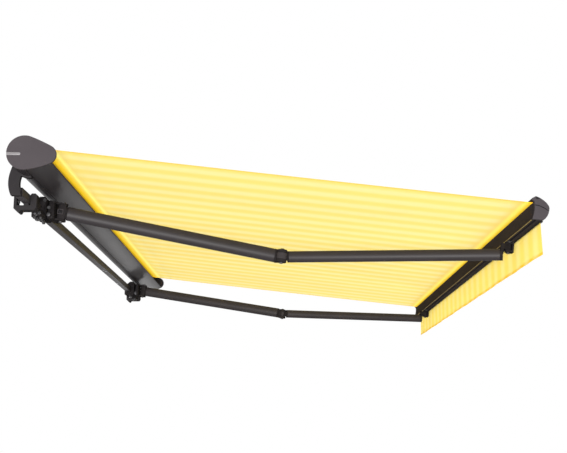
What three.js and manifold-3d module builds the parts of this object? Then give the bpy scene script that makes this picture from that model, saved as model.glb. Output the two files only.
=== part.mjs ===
// Cassette awning with two folding arms, shown fully extended. Millimetres, +Z up.
// The origin lies on the wall, midway along the awning, level with the support tube.
// +X runs along the awning and -Y points away from the wall.
import * as THREE from "three";
import { mergeVertices } from "three/addons/utils/BufferGeometryUtils.js";
import Module from "manifold-3d";

const wasm = await Module();
wasm.setup();

// Driving dimensions

const CASSETTE_LENGTH = 4000; // over the end caps
const CLOTH_WIDTH = CASSETTE_LENGTH - 120;
const FRONT_BAR_LENGTH = CASSETTE_LENGTH - 30; // over its end caps
const TUBE_LENGTH = CASSETTE_LENGTH - 284; // square support tube
const PITCH = THREE.MathUtils.degToRad(6.5); // slope of the cloth and of the fold plane
const ARM_SPACING = CASSETTE_LENGTH - 1120; // from one shoulder pivot to the other
const ARM_LINK = 1144; // pivot to pivot of each arm half, in the fold plane
const ARM_BEND = THREE.MathUtils.degToRad(7); // each half leans in by this when extended
const ELBOW_DROP = 72; // the elbow hangs this far below the shoulder
const TIP_RISE = 38; // the arm's tip lies this far above the shoulder
const SHOULDER_Y = -169;
const SHOULDER_Z = -6;
const CLOTH_HEIGHT = 192.4; // cloth above the shoulder, square to the fold plane

const GAP = 0.3; // between pieces that touch
const RUNNING = 0.4; // between a turning pin and its bore, and beside a turning eye
const ROUND = 28; // facets of a full circle
const FLATNESS = 0.15; // how far a facet may stray from its curve

const TUBE = { side: 40, wall: 3, y: -60 };
const CASSETTE = {
  rearY: -115, rearZ: 150, rearRadius: 81,
  tipY: -217, tipZ: 140.5, tipRadius: 46,
  topRadius: 900, bottomRadius: 380, // the two long flat arcs between the rear and the tip
  shellInset: 1.5, wall: 2.5, capThickness: 16,
  upperLipY: -224, lowerLipY: -241, grooveY: -122, grooveWidth: 4, lap: 24,
};
const INLAY = { length: 66, height: 14, depth: 3, z: 144 };
const ROLLER = {
  y: 66, radius: 39, wall: 1.5, length: CASSETTE_LENGTH - 100, turns: 2, bearingRadius: 34, pinRadius: 7,
};
const MOTOR = { radius: 25, length: 600, shaftRadius: 10, shaftLength: 26, headLength: 14 };
const WALL_BRACKET = { x: CASSETTE_LENGTH / 2 - 313, width: 56, plate: 14, jaw: 30, boltZ: -8 };
const CARRIER = { thickness: 24, plug: 30, saddle: 9 };
const CLAMP = { width: 130, jaw: 24, above: 42, below: 26, plate: 11, bolt: 10 }; // about the tube
const FORK = { halfWidth: 52, web: 14, webY: 42, flange: 10, noseRadius: 26 };
const UPPER = { width: 46, height: 72, wall: 2.5, start: 30, end: 37, elbowOffset: 24 };
const LOWER = { width: 40, height: 60, wall: 2.5, start: 37, end: 40, elbowOffset: 24, tipOffset: -10 };
const EYE = { halfHeight: 36, pinRadius: 9 };
const ELBOW = {
  radius: 20, eyeHalf: 16.4, plateOuter: 33, pinRadius: 7, headRadius: 11, headHeight: 5, block: 9,
};
const SPRING = { turns: 9, pitch: 45, wire: 2.5, start: 330 };
const TIP = {
  radius: 15, lugLow: 24.6, lugHigh: 54.4, plateLow: 12, pinRadius: 6,
  bracketRadius: 18, bracketFront: 25, bracketHalf: 20,
};
const BAR = { behind: 14, ahead: 56, above: 19.6, below: 87.4, cap: 18 }; // about the tip and the cloth
const CLOTH = { thickness: 1, tucked: 9 };
const VALANCE = { drop: 150, thickness: 1.5, ahead: 30, slot: 8 };

// Materials

const paint = (color, roughness, metalness) =>
  new THREE.MeshStandardMaterial({ color, roughness, metalness });
const ANTHRACITE = paint(0x4b474a, 0.5, 0.3);
const CAST = paint(0x2c2a2c, 0.6, 0.3);
const STEEL = paint(0x77777c, 0.35, 0.9);
const ZINC = paint(0xa9adb0, 0.4, 0.9);
const TRIM = paint(0xb9b4b6, 0.4, 0.2);
const BLACK_PLASTIC = paint(0x1c1b1c, 0.7, 0);
const YELLOW = paint(0xffe570, 0.85, 0);

// Solids

function solidOf(geometry) {
  const bare = geometry.index ? geometry.toNonIndexed() : geometry.clone();
  bare.deleteAttribute("normal");
  bare.deleteAttribute("uv");
  const merged = mergeVertices(bare, 1e-3);
  return new wasm.Manifold(
    new wasm.Mesh({
      numProp: 3,
      vertProperties: merged.attributes.position.array,
      triVerts: new Uint32Array(merged.index.array),
    }),
  );
}

function geometryOf(made) {
  const mesh = made.getMesh();
  const geometry = new THREE.BufferGeometry();
  geometry.setAttribute("position", new THREE.BufferAttribute(mesh.vertProperties, 3));
  geometry.setIndex(new THREE.BufferAttribute(mesh.triVerts, 1));
  return geometry;
}

const join = (...parts) => geometryOf(parts.map(solidOf).reduce((a, b) => a.add(b)));
const cut = (part, ...tools) =>
  geometryOf(tools.map(solidOf).reduce((a, b) => a.subtract(b), solidOf(part)));
const keep = (part, tool) => geometryOf(solidOf(part).intersect(solidOf(tool)));

// An outline as straight facets, without points that fall on each other or lie almost on a straight line.
function facets(path) {
  const points = path.getPoints(ROUND / 2);
  const apart = points.filter((point, at) => point.distanceTo(points[(at + 1) % points.length]) > 0.01);
  const kept = [apart[0]];
  for (let at = 1; at < apart.length; at += 1) {
    const last = kept[kept.length - 1];
    const chord = apart[(at + 1) % apart.length].clone().sub(last);
    const skipped = apart.slice(apart.indexOf(last) + 1, at + 1);
    const strays = skipped.map((point) => Math.abs(chord.cross(point.clone().sub(last))) / chord.length());
    if (Math.max(...strays) > FLATNESS) kept.push(apart[at]);
  }
  return kept;
}

function extrude(shape, depth, bevel = 0) {
  const rim = facets(shape);
  const flat = new THREE.Shape(THREE.ShapeUtils.isClockWise(rim) ? rim.reverse() : rim);
  flat.holes = shape.holes.map((hole) => new THREE.Path(facets(hole)));
  const made = new THREE.ExtrudeGeometry(flat, {
    depth: depth - 2 * bevel,
    bevelEnabled: bevel > 0,
    bevelSize: bevel,
    bevelThickness: bevel,
    bevelOffset: -bevel,
    bevelSegments: 2,
  });
  return made.translate(0, 0, bevel);
}

// A (y, z) outline drawn out along X.
const ALONG_X = new THREE.Matrix4().makeBasis(
  new THREE.Vector3(0, 1, 0),
  new THREE.Vector3(0, 0, 1),
  new THREE.Vector3(1, 0, 0),
);
function alongX(shape, from, to, bevel = 0) {
  return extrude(shape, to - from, bevel).applyMatrix4(ALONG_X).translate(from, 0, 0);
}

// An (x, y) outline drawn out along Z.
const alongZ = (shape, from, to) => extrude(shape, to - from).translate(0, 0, from);

function box(x, y, z) {
  const size = [x, y, z].map(([low, high]) => high - low);
  const centre = [x, y, z].map(([low, high]) => (low + high) / 2);
  return new THREE.BoxGeometry(...size).translate(...centre);
}

// A rod along Z, with 6 sides for a hexagon.
function rod(radius, from, to, sides = ROUND) {
  return new THREE.CylinderGeometry(radius, radius, to - from, sides)
    .rotateX(Math.PI / 2)
    .translate(0, 0, (from + to) / 2);
}

const turnedToX = (geometry) => geometry.rotateY(Math.PI / 2);
const turnedToY = (geometry) => geometry.rotateX(-Math.PI / 2);

// A bolt along Z: hexagon head above 0 and shank below it.
function bolt(headRadius, headHeight, shankRadius, shankLength) {
  return join(rod(headRadius, 0, headHeight, 6), rod(shankRadius, -shankLength, headHeight / 2, ROUND / 2));
}

const outline = (points) => new THREE.Shape(points.map(([a, b]) => new THREE.Vector2(a, b)));

function rectangle(x0, x1, y0, y1) {
  return outline([[x0, y0], [x1, y0], [x1, y1], [x0, y1]]);
}

function ellipse(width, height) {
  return new THREE.Shape().absellipse(0, 0, width / 2, height / 2, 0, 2 * Math.PI);
}

const circle = (radius) => ellipse(2 * radius, 2 * radius);

function ring(outer, inner) {
  outer.holes.push(inner);
  return outer;
}

// An outline from a round nose about the origin to a straight edge on the line y = edgeY.
function lugOutline(radius, edgeX0, edgeX1, edgeY) {
  const shape = new THREE.Shape();
  const sign = Math.sign(edgeY);
  const tangent = (x) => {
    const away = Math.hypot(x, edgeY);
    const side = x === edgeX1 ? -sign : sign;
    return Math.atan2(edgeY, x) + side * Math.acos(radius / away);
  };
  const from = tangent(edgeX1);
  const to = tangent(edgeX0);
  shape.moveTo(edgeX0, edgeY);
  shape.lineTo(edgeX1, edgeY);
  shape.absarc(0, 0, radius, from, to, sign > 0);
  shape.closePath();
  return shape;
}

// A straight extrusion between two points, its section upright in the fold plane.
function between(section, from, to) {
  const a = new THREE.Vector3(...from);
  const b = new THREE.Vector3(...to);
  const along = b.clone().sub(a).normalize();
  const across = new THREE.Vector3().crossVectors(new THREE.Vector3(0, 0, 1), along).normalize();
  const upright = new THREE.Vector3().crossVectors(along, across);
  const basis = new THREE.Matrix4().makeBasis(across, upright, along).setPosition(a);
  return extrude(section, a.distanceTo(b)).applyMatrix4(basis);
}

const meshes = (group, suffix = "") => (name, geometry, material) => {
  const mesh = new THREE.Mesh(geometry, material);
  mesh.name = name + suffix;
  group.add(mesh);
  return mesh;
};

// Cassette outline: a large rear circle and a small front one, joined by two flat arcs that touch both.

function touchingArc(radius, upper, inset) {
  const { rearY, rearZ, tipY, tipZ } = CASSETTE;
  const rear = new THREE.Vector2(rearY, rearZ);
  const tip = new THREE.Vector2(tipY, tipZ);
  const toRear = radius - CASSETTE.rearRadius;
  const toTip = radius - CASSETTE.tipRadius;
  const apart = rear.distanceTo(tip);
  const along = (toRear ** 2 - toTip ** 2 + apart ** 2) / (2 * apart);
  const off = Math.sqrt(toRear ** 2 - along ** 2) * (upper ? 1 : -1);
  const way = tip.clone().sub(rear).normalize();
  const across = new THREE.Vector2(-way.y, way.x);
  const centre = rear.clone().addScaledVector(way, along).addScaledVector(across, off);
  const angleTo = (point) => Math.atan2(point.y - centre.y, point.x - centre.x);
  return { centre, radius: radius - inset, rear: angleTo(rear), tip: angleTo(tip) };
}

function teardrop(inset) {
  const top = touchingArc(CASSETTE.topRadius, true, inset);
  const bottom = touchingArc(CASSETTE.bottomRadius, false, inset);
  const shape = new THREE.Shape();
  shape.absarc(CASSETTE.rearY, CASSETTE.rearZ, CASSETTE.rearRadius - inset, top.rear, bottom.rear, true);
  shape.absarc(bottom.centre.x, bottom.centre.y, bottom.radius, bottom.rear, bottom.tip, true);
  shape.absarc(CASSETTE.tipY, CASSETTE.tipZ, CASSETTE.tipRadius - inset, bottom.tip, top.tip, true);
  shape.absarc(top.centre.x, top.centre.y, top.radius, top.tip, top.rear, true);
  return shape;
}

const CAP_FACE = CASSETTE_LENGTH / 2;
const CAP_BACK = CAP_FACE - CASSETTE.capThickness;
const SHELL_END = CAP_BACK - GAP;
const SHELL_INSIDE = CASSETTE.shellInset + CASSETTE.wall;
const FAR = 500; // past every face that a cutting block has to clear

// The lower shell reaches from the groove to the lower lip.
const lowerZone = (from, to) =>
  box([-FAR * 5, FAR * 5], [to, from], [-FAR, CASSETTE.tipZ - CASSETTE.tipRadius / 3]);

function cassetteShell() {
  return alongX(ring(teardrop(CASSETTE.shellInset), teardrop(SHELL_INSIDE)), -SHELL_END, SHELL_END);
}

function cassetteBackProfile() {
  const mouth = box([-FAR * 5, FAR * 5], [-FAR, CASSETTE.upperLipY], [-FAR, FAR]);
  const back = cut(cassetteShell(), mouth, lowerZone(CASSETTE.grooveY, -FAR));
  const lapInset = SHELL_INSIDE + GAP;
  const lapFrom = (outer) =>
    alongX(ring(teardrop(outer), teardrop(lapInset + CASSETTE.wall)), -SHELL_END, SHELL_END);
  const root = keep(lapFrom(SHELL_INSIDE), lowerZone(CASSETTE.grooveY + CASSETTE.lap, CASSETTE.grooveY));
  const tongueZone = lowerZone(CASSETTE.grooveY + CASSETTE.lap, CASSETTE.grooveY - CASSETTE.lap);
  const tongue = keep(lapFrom(lapInset), tongueZone);
  return join(back, root, tongue);
}

function cassetteLowerProfile() {
  return keep(cassetteShell(), lowerZone(CASSETTE.grooveY - CASSETTE.grooveWidth, CASSETTE.lowerLipY));
}

// End caps, inlays and roller bearings are drawn for the left end and mirrored for the right.

function inlayOutline(play) {
  const { length, height, z } = INLAY;
  const half = height / 2 + play;
  const rear = CASSETTE.rearY + CASSETTE.rearRadius;
  const shape = new THREE.Shape();
  shape.moveTo(rear + height, z - half);
  shape.lineTo(rear + height, z + half);
  shape.lineTo(rear - length + half, z + half);
  shape.absarc(rear - length + height / 2, z, half, Math.PI / 2, 1.5 * Math.PI, false);
  shape.closePath();
  return shape;
}

function cassetteEndCap() {
  const plate = alongX(teardrop(0), -CAP_FACE, -CAP_BACK, 2);
  const collarInset = SHELL_INSIDE + CASSETTE.wall + 2 * GAP;
  const collar = alongX(
    ring(teardrop(collarInset), teardrop(collarInset + 3)), -CAP_BACK - 1, -CAP_BACK + 12,
  );
  const mouth = box([-CAP_BACK, 0], [-FAR, CASSETTE.upperLipY], [-FAR, FAR]);
  const groove = alongX(inlayOutline(GAP), -CAP_FACE - 1, -CAP_FACE + INLAY.depth + GAP);
  return cut(join(plate, cut(collar, mouth)), groove);
}

function endCapInlay() {
  const strip = alongX(inlayOutline(0), -CAP_FACE, -CAP_FACE + INLAY.depth);
  return keep(strip, alongX(teardrop(1), -CAP_FACE - 1, 0));
}

// The fold plane: its origin is at the shoulders, -y points out along the cloth and z stands square to it.

const foldPlane = new THREE.Group();
foldPlane.position.set(0, SHOULDER_Y, SHOULDER_Z);
foldPlane.rotation.x = PITCH;

const ROLL_RADIUS = ROLLER.radius + GAP + ROLLER.turns;
const ROLLER_Z = CLOTH_HEIGHT - CLOTH.thickness / 2 - GAP - ROLL_RADIUS;
const ROLLER_END = ROLLER.length / 2;
const BEARING_FACE = ROLLER_END + 14;

function rollerBearing() {
  const plate = turnedToX(rod(ROLLER.bearingRadius, -CAP_BACK + GAP, -BEARING_FACE));
  const bore = turnedToX(rod(ROLLER.pinRadius + RUNNING, -CAP_BACK + 6, -BEARING_FACE + 1, ROUND / 2));
  return cut(plate, bore);
}

function idlerPlug() {
  const disc = rod(ROLLER.radius - ROLLER.wall - GAP, -ROLLER_END + 1, -ROLLER_END + 40);
  const pin = rod(ROLLER.pinRadius, -CAP_BACK + 7, -ROLLER_END + 20, ROUND / 2);
  return turnedToX(join(disc, pin));
}

// The motor lies inside the roller's right end. Its head is held by the right bearing.

const MOTOR_HEAD = BEARING_FACE - GAP;
const MOTOR_NOSE = MOTOR_HEAD - MOTOR.headLength - MOTOR.length;

function motorBody() {
  const body = rod(MOTOR.radius, MOTOR_NOSE, MOTOR_HEAD);
  const spigot = rod(ROLLER.pinRadius, MOTOR_HEAD - 1, CAP_BACK - 7, ROUND / 2);
  const shaft = rod(MOTOR.shaftRadius, MOTOR_NOSE - MOTOR.shaftLength, MOTOR_NOSE + 1, ROUND / 2);
  return turnedToX(join(body, spigot, shaft));
}

function motorRing(bore, from, to) {
  const disc = rod(ROLLER.radius - ROLLER.wall - GAP, from, to);
  return turnedToX(cut(disc, rod(bore + RUNNING, from - 1, to + 1, ROUND)));
}

function addRoller() {
  const group = new THREE.Group();
  group.position.set(0, ROLLER.y, ROLLER_Z);
  foldPlane.add(group);
  const add = meshes(group);
  const tube = ring(circle(ROLLER.radius), circle(ROLLER.radius - ROLLER.wall));
  const roll = ring(circle(ROLL_RADIUS), circle(ROLLER.radius + GAP));
  add("roller_tube", alongX(tube, -ROLLER_END, ROLLER_END), ZINC);
  add("cloth_roll", alongX(roll, -CLOTH_WIDTH / 2, CLOTH_WIDTH / 2), YELLOW);
  add("idler_plug", idlerPlug(), BLACK_PLASTIC);
  add("roller_bearing_left", rollerBearing(), BLACK_PLASTIC);
  add("roller_bearing_right", rollerBearing().rotateZ(Math.PI), BLACK_PLASTIC);
  add("motor_body", motorBody(), ZINC);
  const wheelFrom = MOTOR_NOSE - MOTOR.shaftLength + 2;
  add("motor_drive_wheel", motorRing(MOTOR.shaftRadius, wheelFrom, MOTOR_NOSE - 4), BLACK_PLASTIC);
  const crownTo = ROLLER_END - 1;
  add("motor_crown", motorRing(MOTOR.radius, crownTo - 18, crownTo), BLACK_PLASTIC);
}

// Wall bracket: a back plate with a claw over the tube, a seat under it and a jaw in front of it.

const TUBE_BACK = TUBE.y + TUBE.side / 2;
const TUBE_FRONT = TUBE.y - TUBE.side / 2;
const TUBE_TOP = TUBE.side / 2;
const WALL_BOLT = { headRadius: 9.5, headHeight: 8, shankRadius: 5.5 };

function wallBracket() {
  const { x, width, plate, jaw, boltZ } = WALL_BRACKET;
  const reach = jaw - TUBE_FRONT;
  const seat = TUBE_TOP + GAP;
  const claw = 14;
  const floor = TUBE_TOP + 11;
  const sole = TUBE_TOP + 34;
  const profile = outline([
    [0, seat + 35], [-plate, seat + 35], [-plate - 6, seat + claw], [TUBE.y, seat + claw], [TUBE.y, seat],
    [-plate, seat], [-plate, -floor], [TUBE.y + 12, -floor], [TUBE.y + 12, -seat], [TUBE.y - 12, -seat],
    [TUBE.y - 12, -floor], [TUBE_FRONT - GAP, -floor], [TUBE_FRONT - GAP, seat + 2],
    [TUBE_FRONT - 6, seat + 7], [-reach + 6, seat + 7], [-reach, seat - 2], [-reach, -sole + 12],
    [-reach + 10, -sole], [-36, -sole], [-29, -sole - 12], [-21, -sole - 12], [0, -sole + 8],
  ]);
  const body = alongX(profile, -x - width / 2, -x + width / 2);
  const hole = turnedToY(rod(WALL_BOLT.shankRadius + GAP, -plate - 1, 1, ROUND / 2))
    .translate(-x, 0, boltZ);
  return cut(body, hole);
}

function wallBolt() {
  const { x, plate, boltZ } = WALL_BRACKET;
  const { headRadius, headHeight, shankRadius } = WALL_BOLT;
  const made = bolt(headRadius, headHeight, shankRadius, plate - 1);
  return made.rotateX(Math.PI / 2).translate(-x, -plate - GAP, boltZ);
}

// Carrier: a curved arm that stands on the tube's end and cradles the cassette.

const TUBE_END = TUBE_LENGTH / 2;

function cassetteCarrier() {
  const { rearY, rearZ, rearRadius, shellInset } = CASSETTE;
  const inner = rearRadius - shellInset + GAP;
  const outer = inner + CARRIER.saddle;
  const start = THREE.MathUtils.degToRad(-22);
  const end = touchingArc(CASSETTE.bottomRadius, false, 0).rear; // where the outline leaves the rear circle
  const foot = -TUBE_TOP - 3;
  const shape = new THREE.Shape();
  shape.absarc(rearY, rearZ, inner, start, end, true);
  shape.absarc(rearY, rearZ, outer, end, end + THREE.MathUtils.degToRad(32), false);
  shape.quadraticCurveTo(-62, 38, TUBE_FRONT, foot);
  shape.lineTo(TUBE_BACK + 8, foot);
  shape.quadraticCurveTo(-2, 40, rearY + outer * Math.cos(start), rearZ + outer * Math.sin(start));
  shape.closePath();
  const from = -TUBE_END - GAP - CARRIER.thickness;
  const arm = alongX(shape, from, -TUBE_END - GAP);
  const half = TUBE.side / 2 - TUBE.wall - GAP;
  const inTube = rectangle(TUBE.y - half, TUBE.y + half, -half, half);
  const plug = alongX(inTube, from + 2, -TUBE_END + CARRIER.plug);
  return join(arm, plug);
}

function supportTube() {
  const half = TUBE.side / 2;
  const inside = half - TUBE.wall;
  const section = rectangle(TUBE.y - half, TUBE.y + half, -half, half);
  return alongX(
    ring(section, rectangle(TUBE.y - inside, TUBE.y + inside, -inside, inside)), -TUBE_END, TUBE_END,
  );
}

// Shoulder clamp: a jaw over the tube, a plate behind it and the bolts that pull them together.

const SHOULDER_X = -ARM_SPACING / 2;
const CLAMP_BOLT = { headRadius: 9, headHeight: 7, shankRadius: 5, length: 34 };
const CLAMP_FRONT = TUBE_FRONT - CLAMP.jaw;
const CLAMP_SOLE = TUBE_TOP + CLAMP.below;
const CLAMP_BOLT_Z = TUBE_TOP + CLAMP.bolt;
const TILT_BOLT = { radius: 7, headRadius: 11, headHeight: 8, y: CLAMP_FRONT - 14, z: -30, half: 62 };
const PITCH_SCREW = { radius: 6, headRadius: 10, headHeight: 9, y: -64, x: 38, length: 20 };
const EAR = { half: 20, radius: 13.5 };
const ADJUSTER = { length: 90, depth: 47, height: 33, chamfer: 8 };

function shoulderClamp() {
  const { width, above } = CLAMP;
  const seat = TUBE_TOP + GAP;
  const hook = TUBE_BACK - 2;
  const top = TUBE_TOP + above;
  const sole = CLAMP_SOLE;
  const front = CLAMP_FRONT;
  const profile = outline([
    [hook, seat], [TUBE_FRONT - GAP, seat], [TUBE_FRONT - GAP, -seat], [hook, -seat],
    [hook, -CLAMP_BOLT_Z - 9], [hook - 14, -sole], [front + 6, -sole], [front, -sole + 8],
    [front, top - 14], [front + 8, top], [TUBE_FRONT + 8, top],
    [hook - 8, CLAMP_BOLT_Z + 14], [hook, CLAMP_BOLT_Z + 8],
  ]);
  const jaw = alongX(profile, SHOULDER_X - width / 2, SHOULDER_X + width / 2);
  const nose = new THREE.Shape().absarc(TILT_BOLT.y, TILT_BOLT.z, EAR.radius, 0, 2 * Math.PI);
  const ear = alongX(nose, SHOULDER_X - EAR.half, SHOULDER_X + EAR.half);
  const root = box(
    [SHOULDER_X - EAR.half, SHOULDER_X + EAR.half],
    [TILT_BOLT.y, front + 2],
    [TILT_BOLT.z - EAR.radius + 1, TILT_BOLT.z + EAR.radius],
  );
  const tilt = turnedToX(rod(TILT_BOLT.radius + GAP, -FAR, FAR, ROUND / 2))
    .translate(SHOULDER_X, TILT_BOLT.y, TILT_BOLT.z);
  const clampHole = turnedToY(rod(CLAMP_BOLT.shankRadius + GAP, -FAR / 8, 0, ROUND / 2))
    .translate(SHOULDER_X, TUBE_BACK + 1, CLAMP_BOLT_Z);
  const screwHole = rod(PITCH_SCREW.radius + GAP, -sole - 1, -seat - 1, ROUND / 2)
    .translate(SHOULDER_X - PITCH_SCREW.x, PITCH_SCREW.y, 0);
  return cut(join(jaw, ear, root, adjusterBlock()), tilt, clampHole, screwHole);
}

// The block beside the clamp that holds its setting screws.
function adjusterBlock() {
  const { length, depth, height, chamfer } = ADJUSTER;
  const back = TUBE.y + 4;
  const front = back - depth;
  const top = -TUBE_TOP - 2;
  const low = top - height;
  const section = outline([
    [back, top], [front + chamfer, top], [front, top - chamfer], [front, low + chamfer],
    [front + chamfer, low], [back - chamfer, low], [back, low + chamfer],
  ]);
  const side = SHOULDER_X - CLAMP.width / 2;
  return alongX(section, side - length, side + 2);
}

function shoulderClampPlate() {
  const { width, plate } = CLAMP;
  const y = [TUBE_BACK + GAP, TUBE_BACK + GAP + plate];
  const half = width / 2 - 10;
  const tall = CLAMP_BOLT_Z + 9;
  const body = box([SHOULDER_X - half, SHOULDER_X + half], y, [-tall, tall]);
  const hole = turnedToY(rod(CLAMP_BOLT.shankRadius + GAP, -FAR / 8, FAR / 8, ROUND / 2))
    .translate(SHOULDER_X, TUBE_BACK, CLAMP_BOLT_Z);
  return cut(body, hole);
}

function shoulderClampBolt() {
  const { headRadius, headHeight, shankRadius, length } = CLAMP_BOLT;
  return bolt(headRadius, headHeight, shankRadius, length)
    .rotateX(-Math.PI / 2)
    .translate(SHOULDER_X, TUBE_BACK + CLAMP.plate + 2 * GAP, CLAMP_BOLT_Z);
}

function tiltBolt() {
  const { radius, headRadius, headHeight, half, y, z } = TILT_BOLT;
  const shank = rod(radius, -half, half + headHeight / 2, ROUND / 2);
  const head = rod(headRadius, half + GAP, half + headHeight, 6);
  return turnedToX(join(shank, head)).rotateZ(Math.PI).translate(SHOULDER_X, y, z);
}

function pitchScrew() {
  const { radius, headRadius, headHeight, length, x, y } = PITCH_SCREW;
  const made = bolt(headRadius, headHeight, radius, length).rotateX(Math.PI);
  return made.translate(SHOULDER_X - x, y, -CLAMP_SOLE - GAP);
}

// Shoulder fork: two flanges that hold the arm's pin, and a web with two lugs on the tilt bolt.

function shoulderFork() {
  const { halfWidth, web, webY, flange, noseRadius } = FORK;
  const low = EYE.halfHeight + RUNNING;
  const back = webY + web;
  const neck = webY - 12;
  const shape = new THREE.Shape();
  shape.moveTo(-halfWidth, back);
  shape.lineTo(-halfWidth, neck);
  shape.lineTo(-noseRadius, neck - 6);
  shape.lineTo(-noseRadius, 0);
  shape.absarc(0, 0, noseRadius, Math.PI, 2 * Math.PI, false);
  shape.lineTo(noseRadius, neck - 6);
  shape.lineTo(halfWidth, neck);
  shape.lineTo(halfWidth, back);
  shape.closePath();
  const top = alongZ(shape, low, low + flange);
  const bottom = alongZ(shape, -low - flange, -low);
  const wall = box([-halfWidth, halfWidth], [webY, back], [-low - 1, low + 1]);
  const pinHole = rod(EYE.pinRadius + GAP, -FAR, FAR, ROUND / 2);
  return cut(join(top, bottom, wall), pinHole);
}

// The lugs are drawn with the fork, turned back out of the fold plane so that they follow the tilt bolt.
function forkLugs() {
  const ear = new THREE.Shape().absarc(0, 0, EAR.radius, 0, 2 * Math.PI);
  const inner = EAR.half + GAP;
  const at = new THREE.Vector3(0, TILT_BOLT.y - SHOULDER_Y, TILT_BOLT.z - SHOULDER_Z);
  at.applyAxisAngle(new THREE.Vector3(1, 0, 0), -PITCH);
  const lugs = [-1, 1].map((side) => {
    const from = side > 0 ? inner : -FORK.halfWidth;
    const to = side > 0 ? FORK.halfWidth : -inner;
    return alongX(ear, from, to).translate(0, at.y, at.z);
  });
  const hole = turnedToX(rod(TILT_BOLT.radius + GAP, -FAR, FAR, ROUND / 2)).translate(0, at.y, at.z);
  const clearance = box(
    [-inner, inner], [at.y - EAR.radius - GAP, FAR], [at.z - EAR.radius - 3, at.z + EAR.radius + 3],
  );
  return { lugs, hole, clearance };
}

function wholeFork() {
  const { lugs, hole, clearance } = forkLugs();
  return cut(join(shoulderFork(), ...lugs), hole, clearance);
}

function shoulderPin() {
  const reach = EYE.halfHeight + RUNNING + FORK.flange;
  const head = rod(EYE.pinRadius + 6, reach + GAP, reach + 7, 6);
  return join(rod(EYE.pinRadius, -reach - 6, reach + 2, ROUND / 2), head);
}

// Upper arm, in its own frame: the shoulder pivot is the origin and the elbow lies at -y.

const UPPER_LINE = (d) => [
  (UPPER.elbowOffset * d) / ARM_LINK, -d, (-ELBOW_DROP * d) / ARM_LINK,
];
const LOWER_RISE = ELBOW_DROP + TIP_RISE;
const LOWER_LINE = (d) => [
  LOWER.elbowOffset + ((LOWER.tipOffset - LOWER.elbowOffset) * d) / ARM_LINK,
  -d,
  (LOWER_RISE * d) / ARM_LINK,
];
const inset = (arm, by) => ellipse(arm.width - 2 * by, arm.height - 2 * by);
const armTube = (arm, line) =>
  between(ring(inset(arm, 0), inset(arm, arm.wall)), line(arm.start), line(ARM_LINK - arm.end));
const SPIGOT = 34; // how far a fitting reaches into its tube
const spigot = (arm, line, from, to) => between(inset(arm, arm.wall + GAP), line(from), line(to));

function shoulderEye() {
  const half = UPPER.width / 2 - 1;
  const shape = new THREE.Shape();
  shape.absarc(0, 0, half, 0, Math.PI, false);
  shape.lineTo(-half, -UPPER.start + 10);
  shape.lineTo(half, -UPPER.start + 10);
  shape.closePath();
  const barrel = alongZ(shape, -EYE.halfHeight, EYE.halfHeight);
  const neck = between(inset(UPPER, UPPER.wall), UPPER_LINE(6), UPPER_LINE(UPPER.start - GAP));
  const plug = spigot(UPPER, UPPER_LINE, 10, UPPER.start + SPIGOT);
  return cut(join(barrel, neck, plug), rod(EYE.pinRadius + RUNNING, -FAR, FAR, ROUND / 2));
}

const elbowAt = [0, -ARM_LINK, -ELBOW_DROP];

function elbowFork() {
  const { radius, eyeHalf, plateOuter, pinRadius, block } = ELBOW;
  const plate = lugOutline(radius, UPPER.elbowOffset - 16, UPPER.elbowOffset + 18, UPPER.end - 5);
  const low = eyeHalf + RUNNING;
  const top = alongZ(plate, low, plateOuter).translate(...elbowAt);
  const bottom = alongZ(plate, -plateOuter, -low).translate(...elbowAt);
  const tubeEnd = ARM_LINK - UPPER.end;
  const face = between(inset(UPPER, 0), UPPER_LINE(tubeEnd + GAP), UPPER_LINE(tubeEnd + block));
  const plug = spigot(UPPER, UPPER_LINE, tubeEnd - SPIGOT, tubeEnd + 2);
  const bore = rod(pinRadius + GAP, -FAR, FAR, ROUND / 2).translate(...elbowAt);
  return cut(join(face, plug, top, bottom), bore);
}

function elbowPin() {
  const { pinRadius, headRadius, headHeight, plateOuter } = ELBOW;
  const head = (from) => rod(headRadius, from, from + headHeight, ROUND / 2);
  const shank = rod(pinRadius, -plateOuter - headHeight, plateOuter + headHeight, ROUND / 2);
  return join(shank, head(plateOuter + GAP), head(-plateOuter - GAP - headHeight)).translate(...elbowAt);
}

class Helix extends THREE.Curve {
  constructor(radius, pitch, turns) {
    super();
    Object.assign(this, { radius, pitch, turns });
  }
  getPoint(t, target = new THREE.Vector3()) {
    const angle = 2 * Math.PI * this.turns * t;
    return target.set(
      this.radius * Math.cos(angle), this.radius * Math.sin(angle), this.pitch * this.turns * t,
    );
  }
}

// The tension spring fills the width of the upper arm's tube.
function armSpring() {
  const { turns, pitch, wire, start } = SPRING;
  const radius = UPPER.width / 2 - UPPER.wall - GAP - wire;
  const steps = turns * 9;
  const coil = new THREE.ExtrudeGeometry(new THREE.Shape().absarc(0, 0, wire, 0, 2 * Math.PI), {
    steps, curveSegments: 3, bevelEnabled: false, extrudePath: new Helix(radius, pitch, turns),
  });
  const from = new THREE.Vector3(...UPPER_LINE(start));
  const way = new THREE.Vector3(...UPPER_LINE(start + 1)).sub(from).normalize();
  const turn = new THREE.Quaternion().setFromUnitVectors(new THREE.Vector3(0, 0, 1), way);
  return coil.applyQuaternion(turn).translate(from.x, from.y, from.z);
}

// Lower arm, in its own frame: the elbow pivot is the origin and the tip lies at -y.

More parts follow.
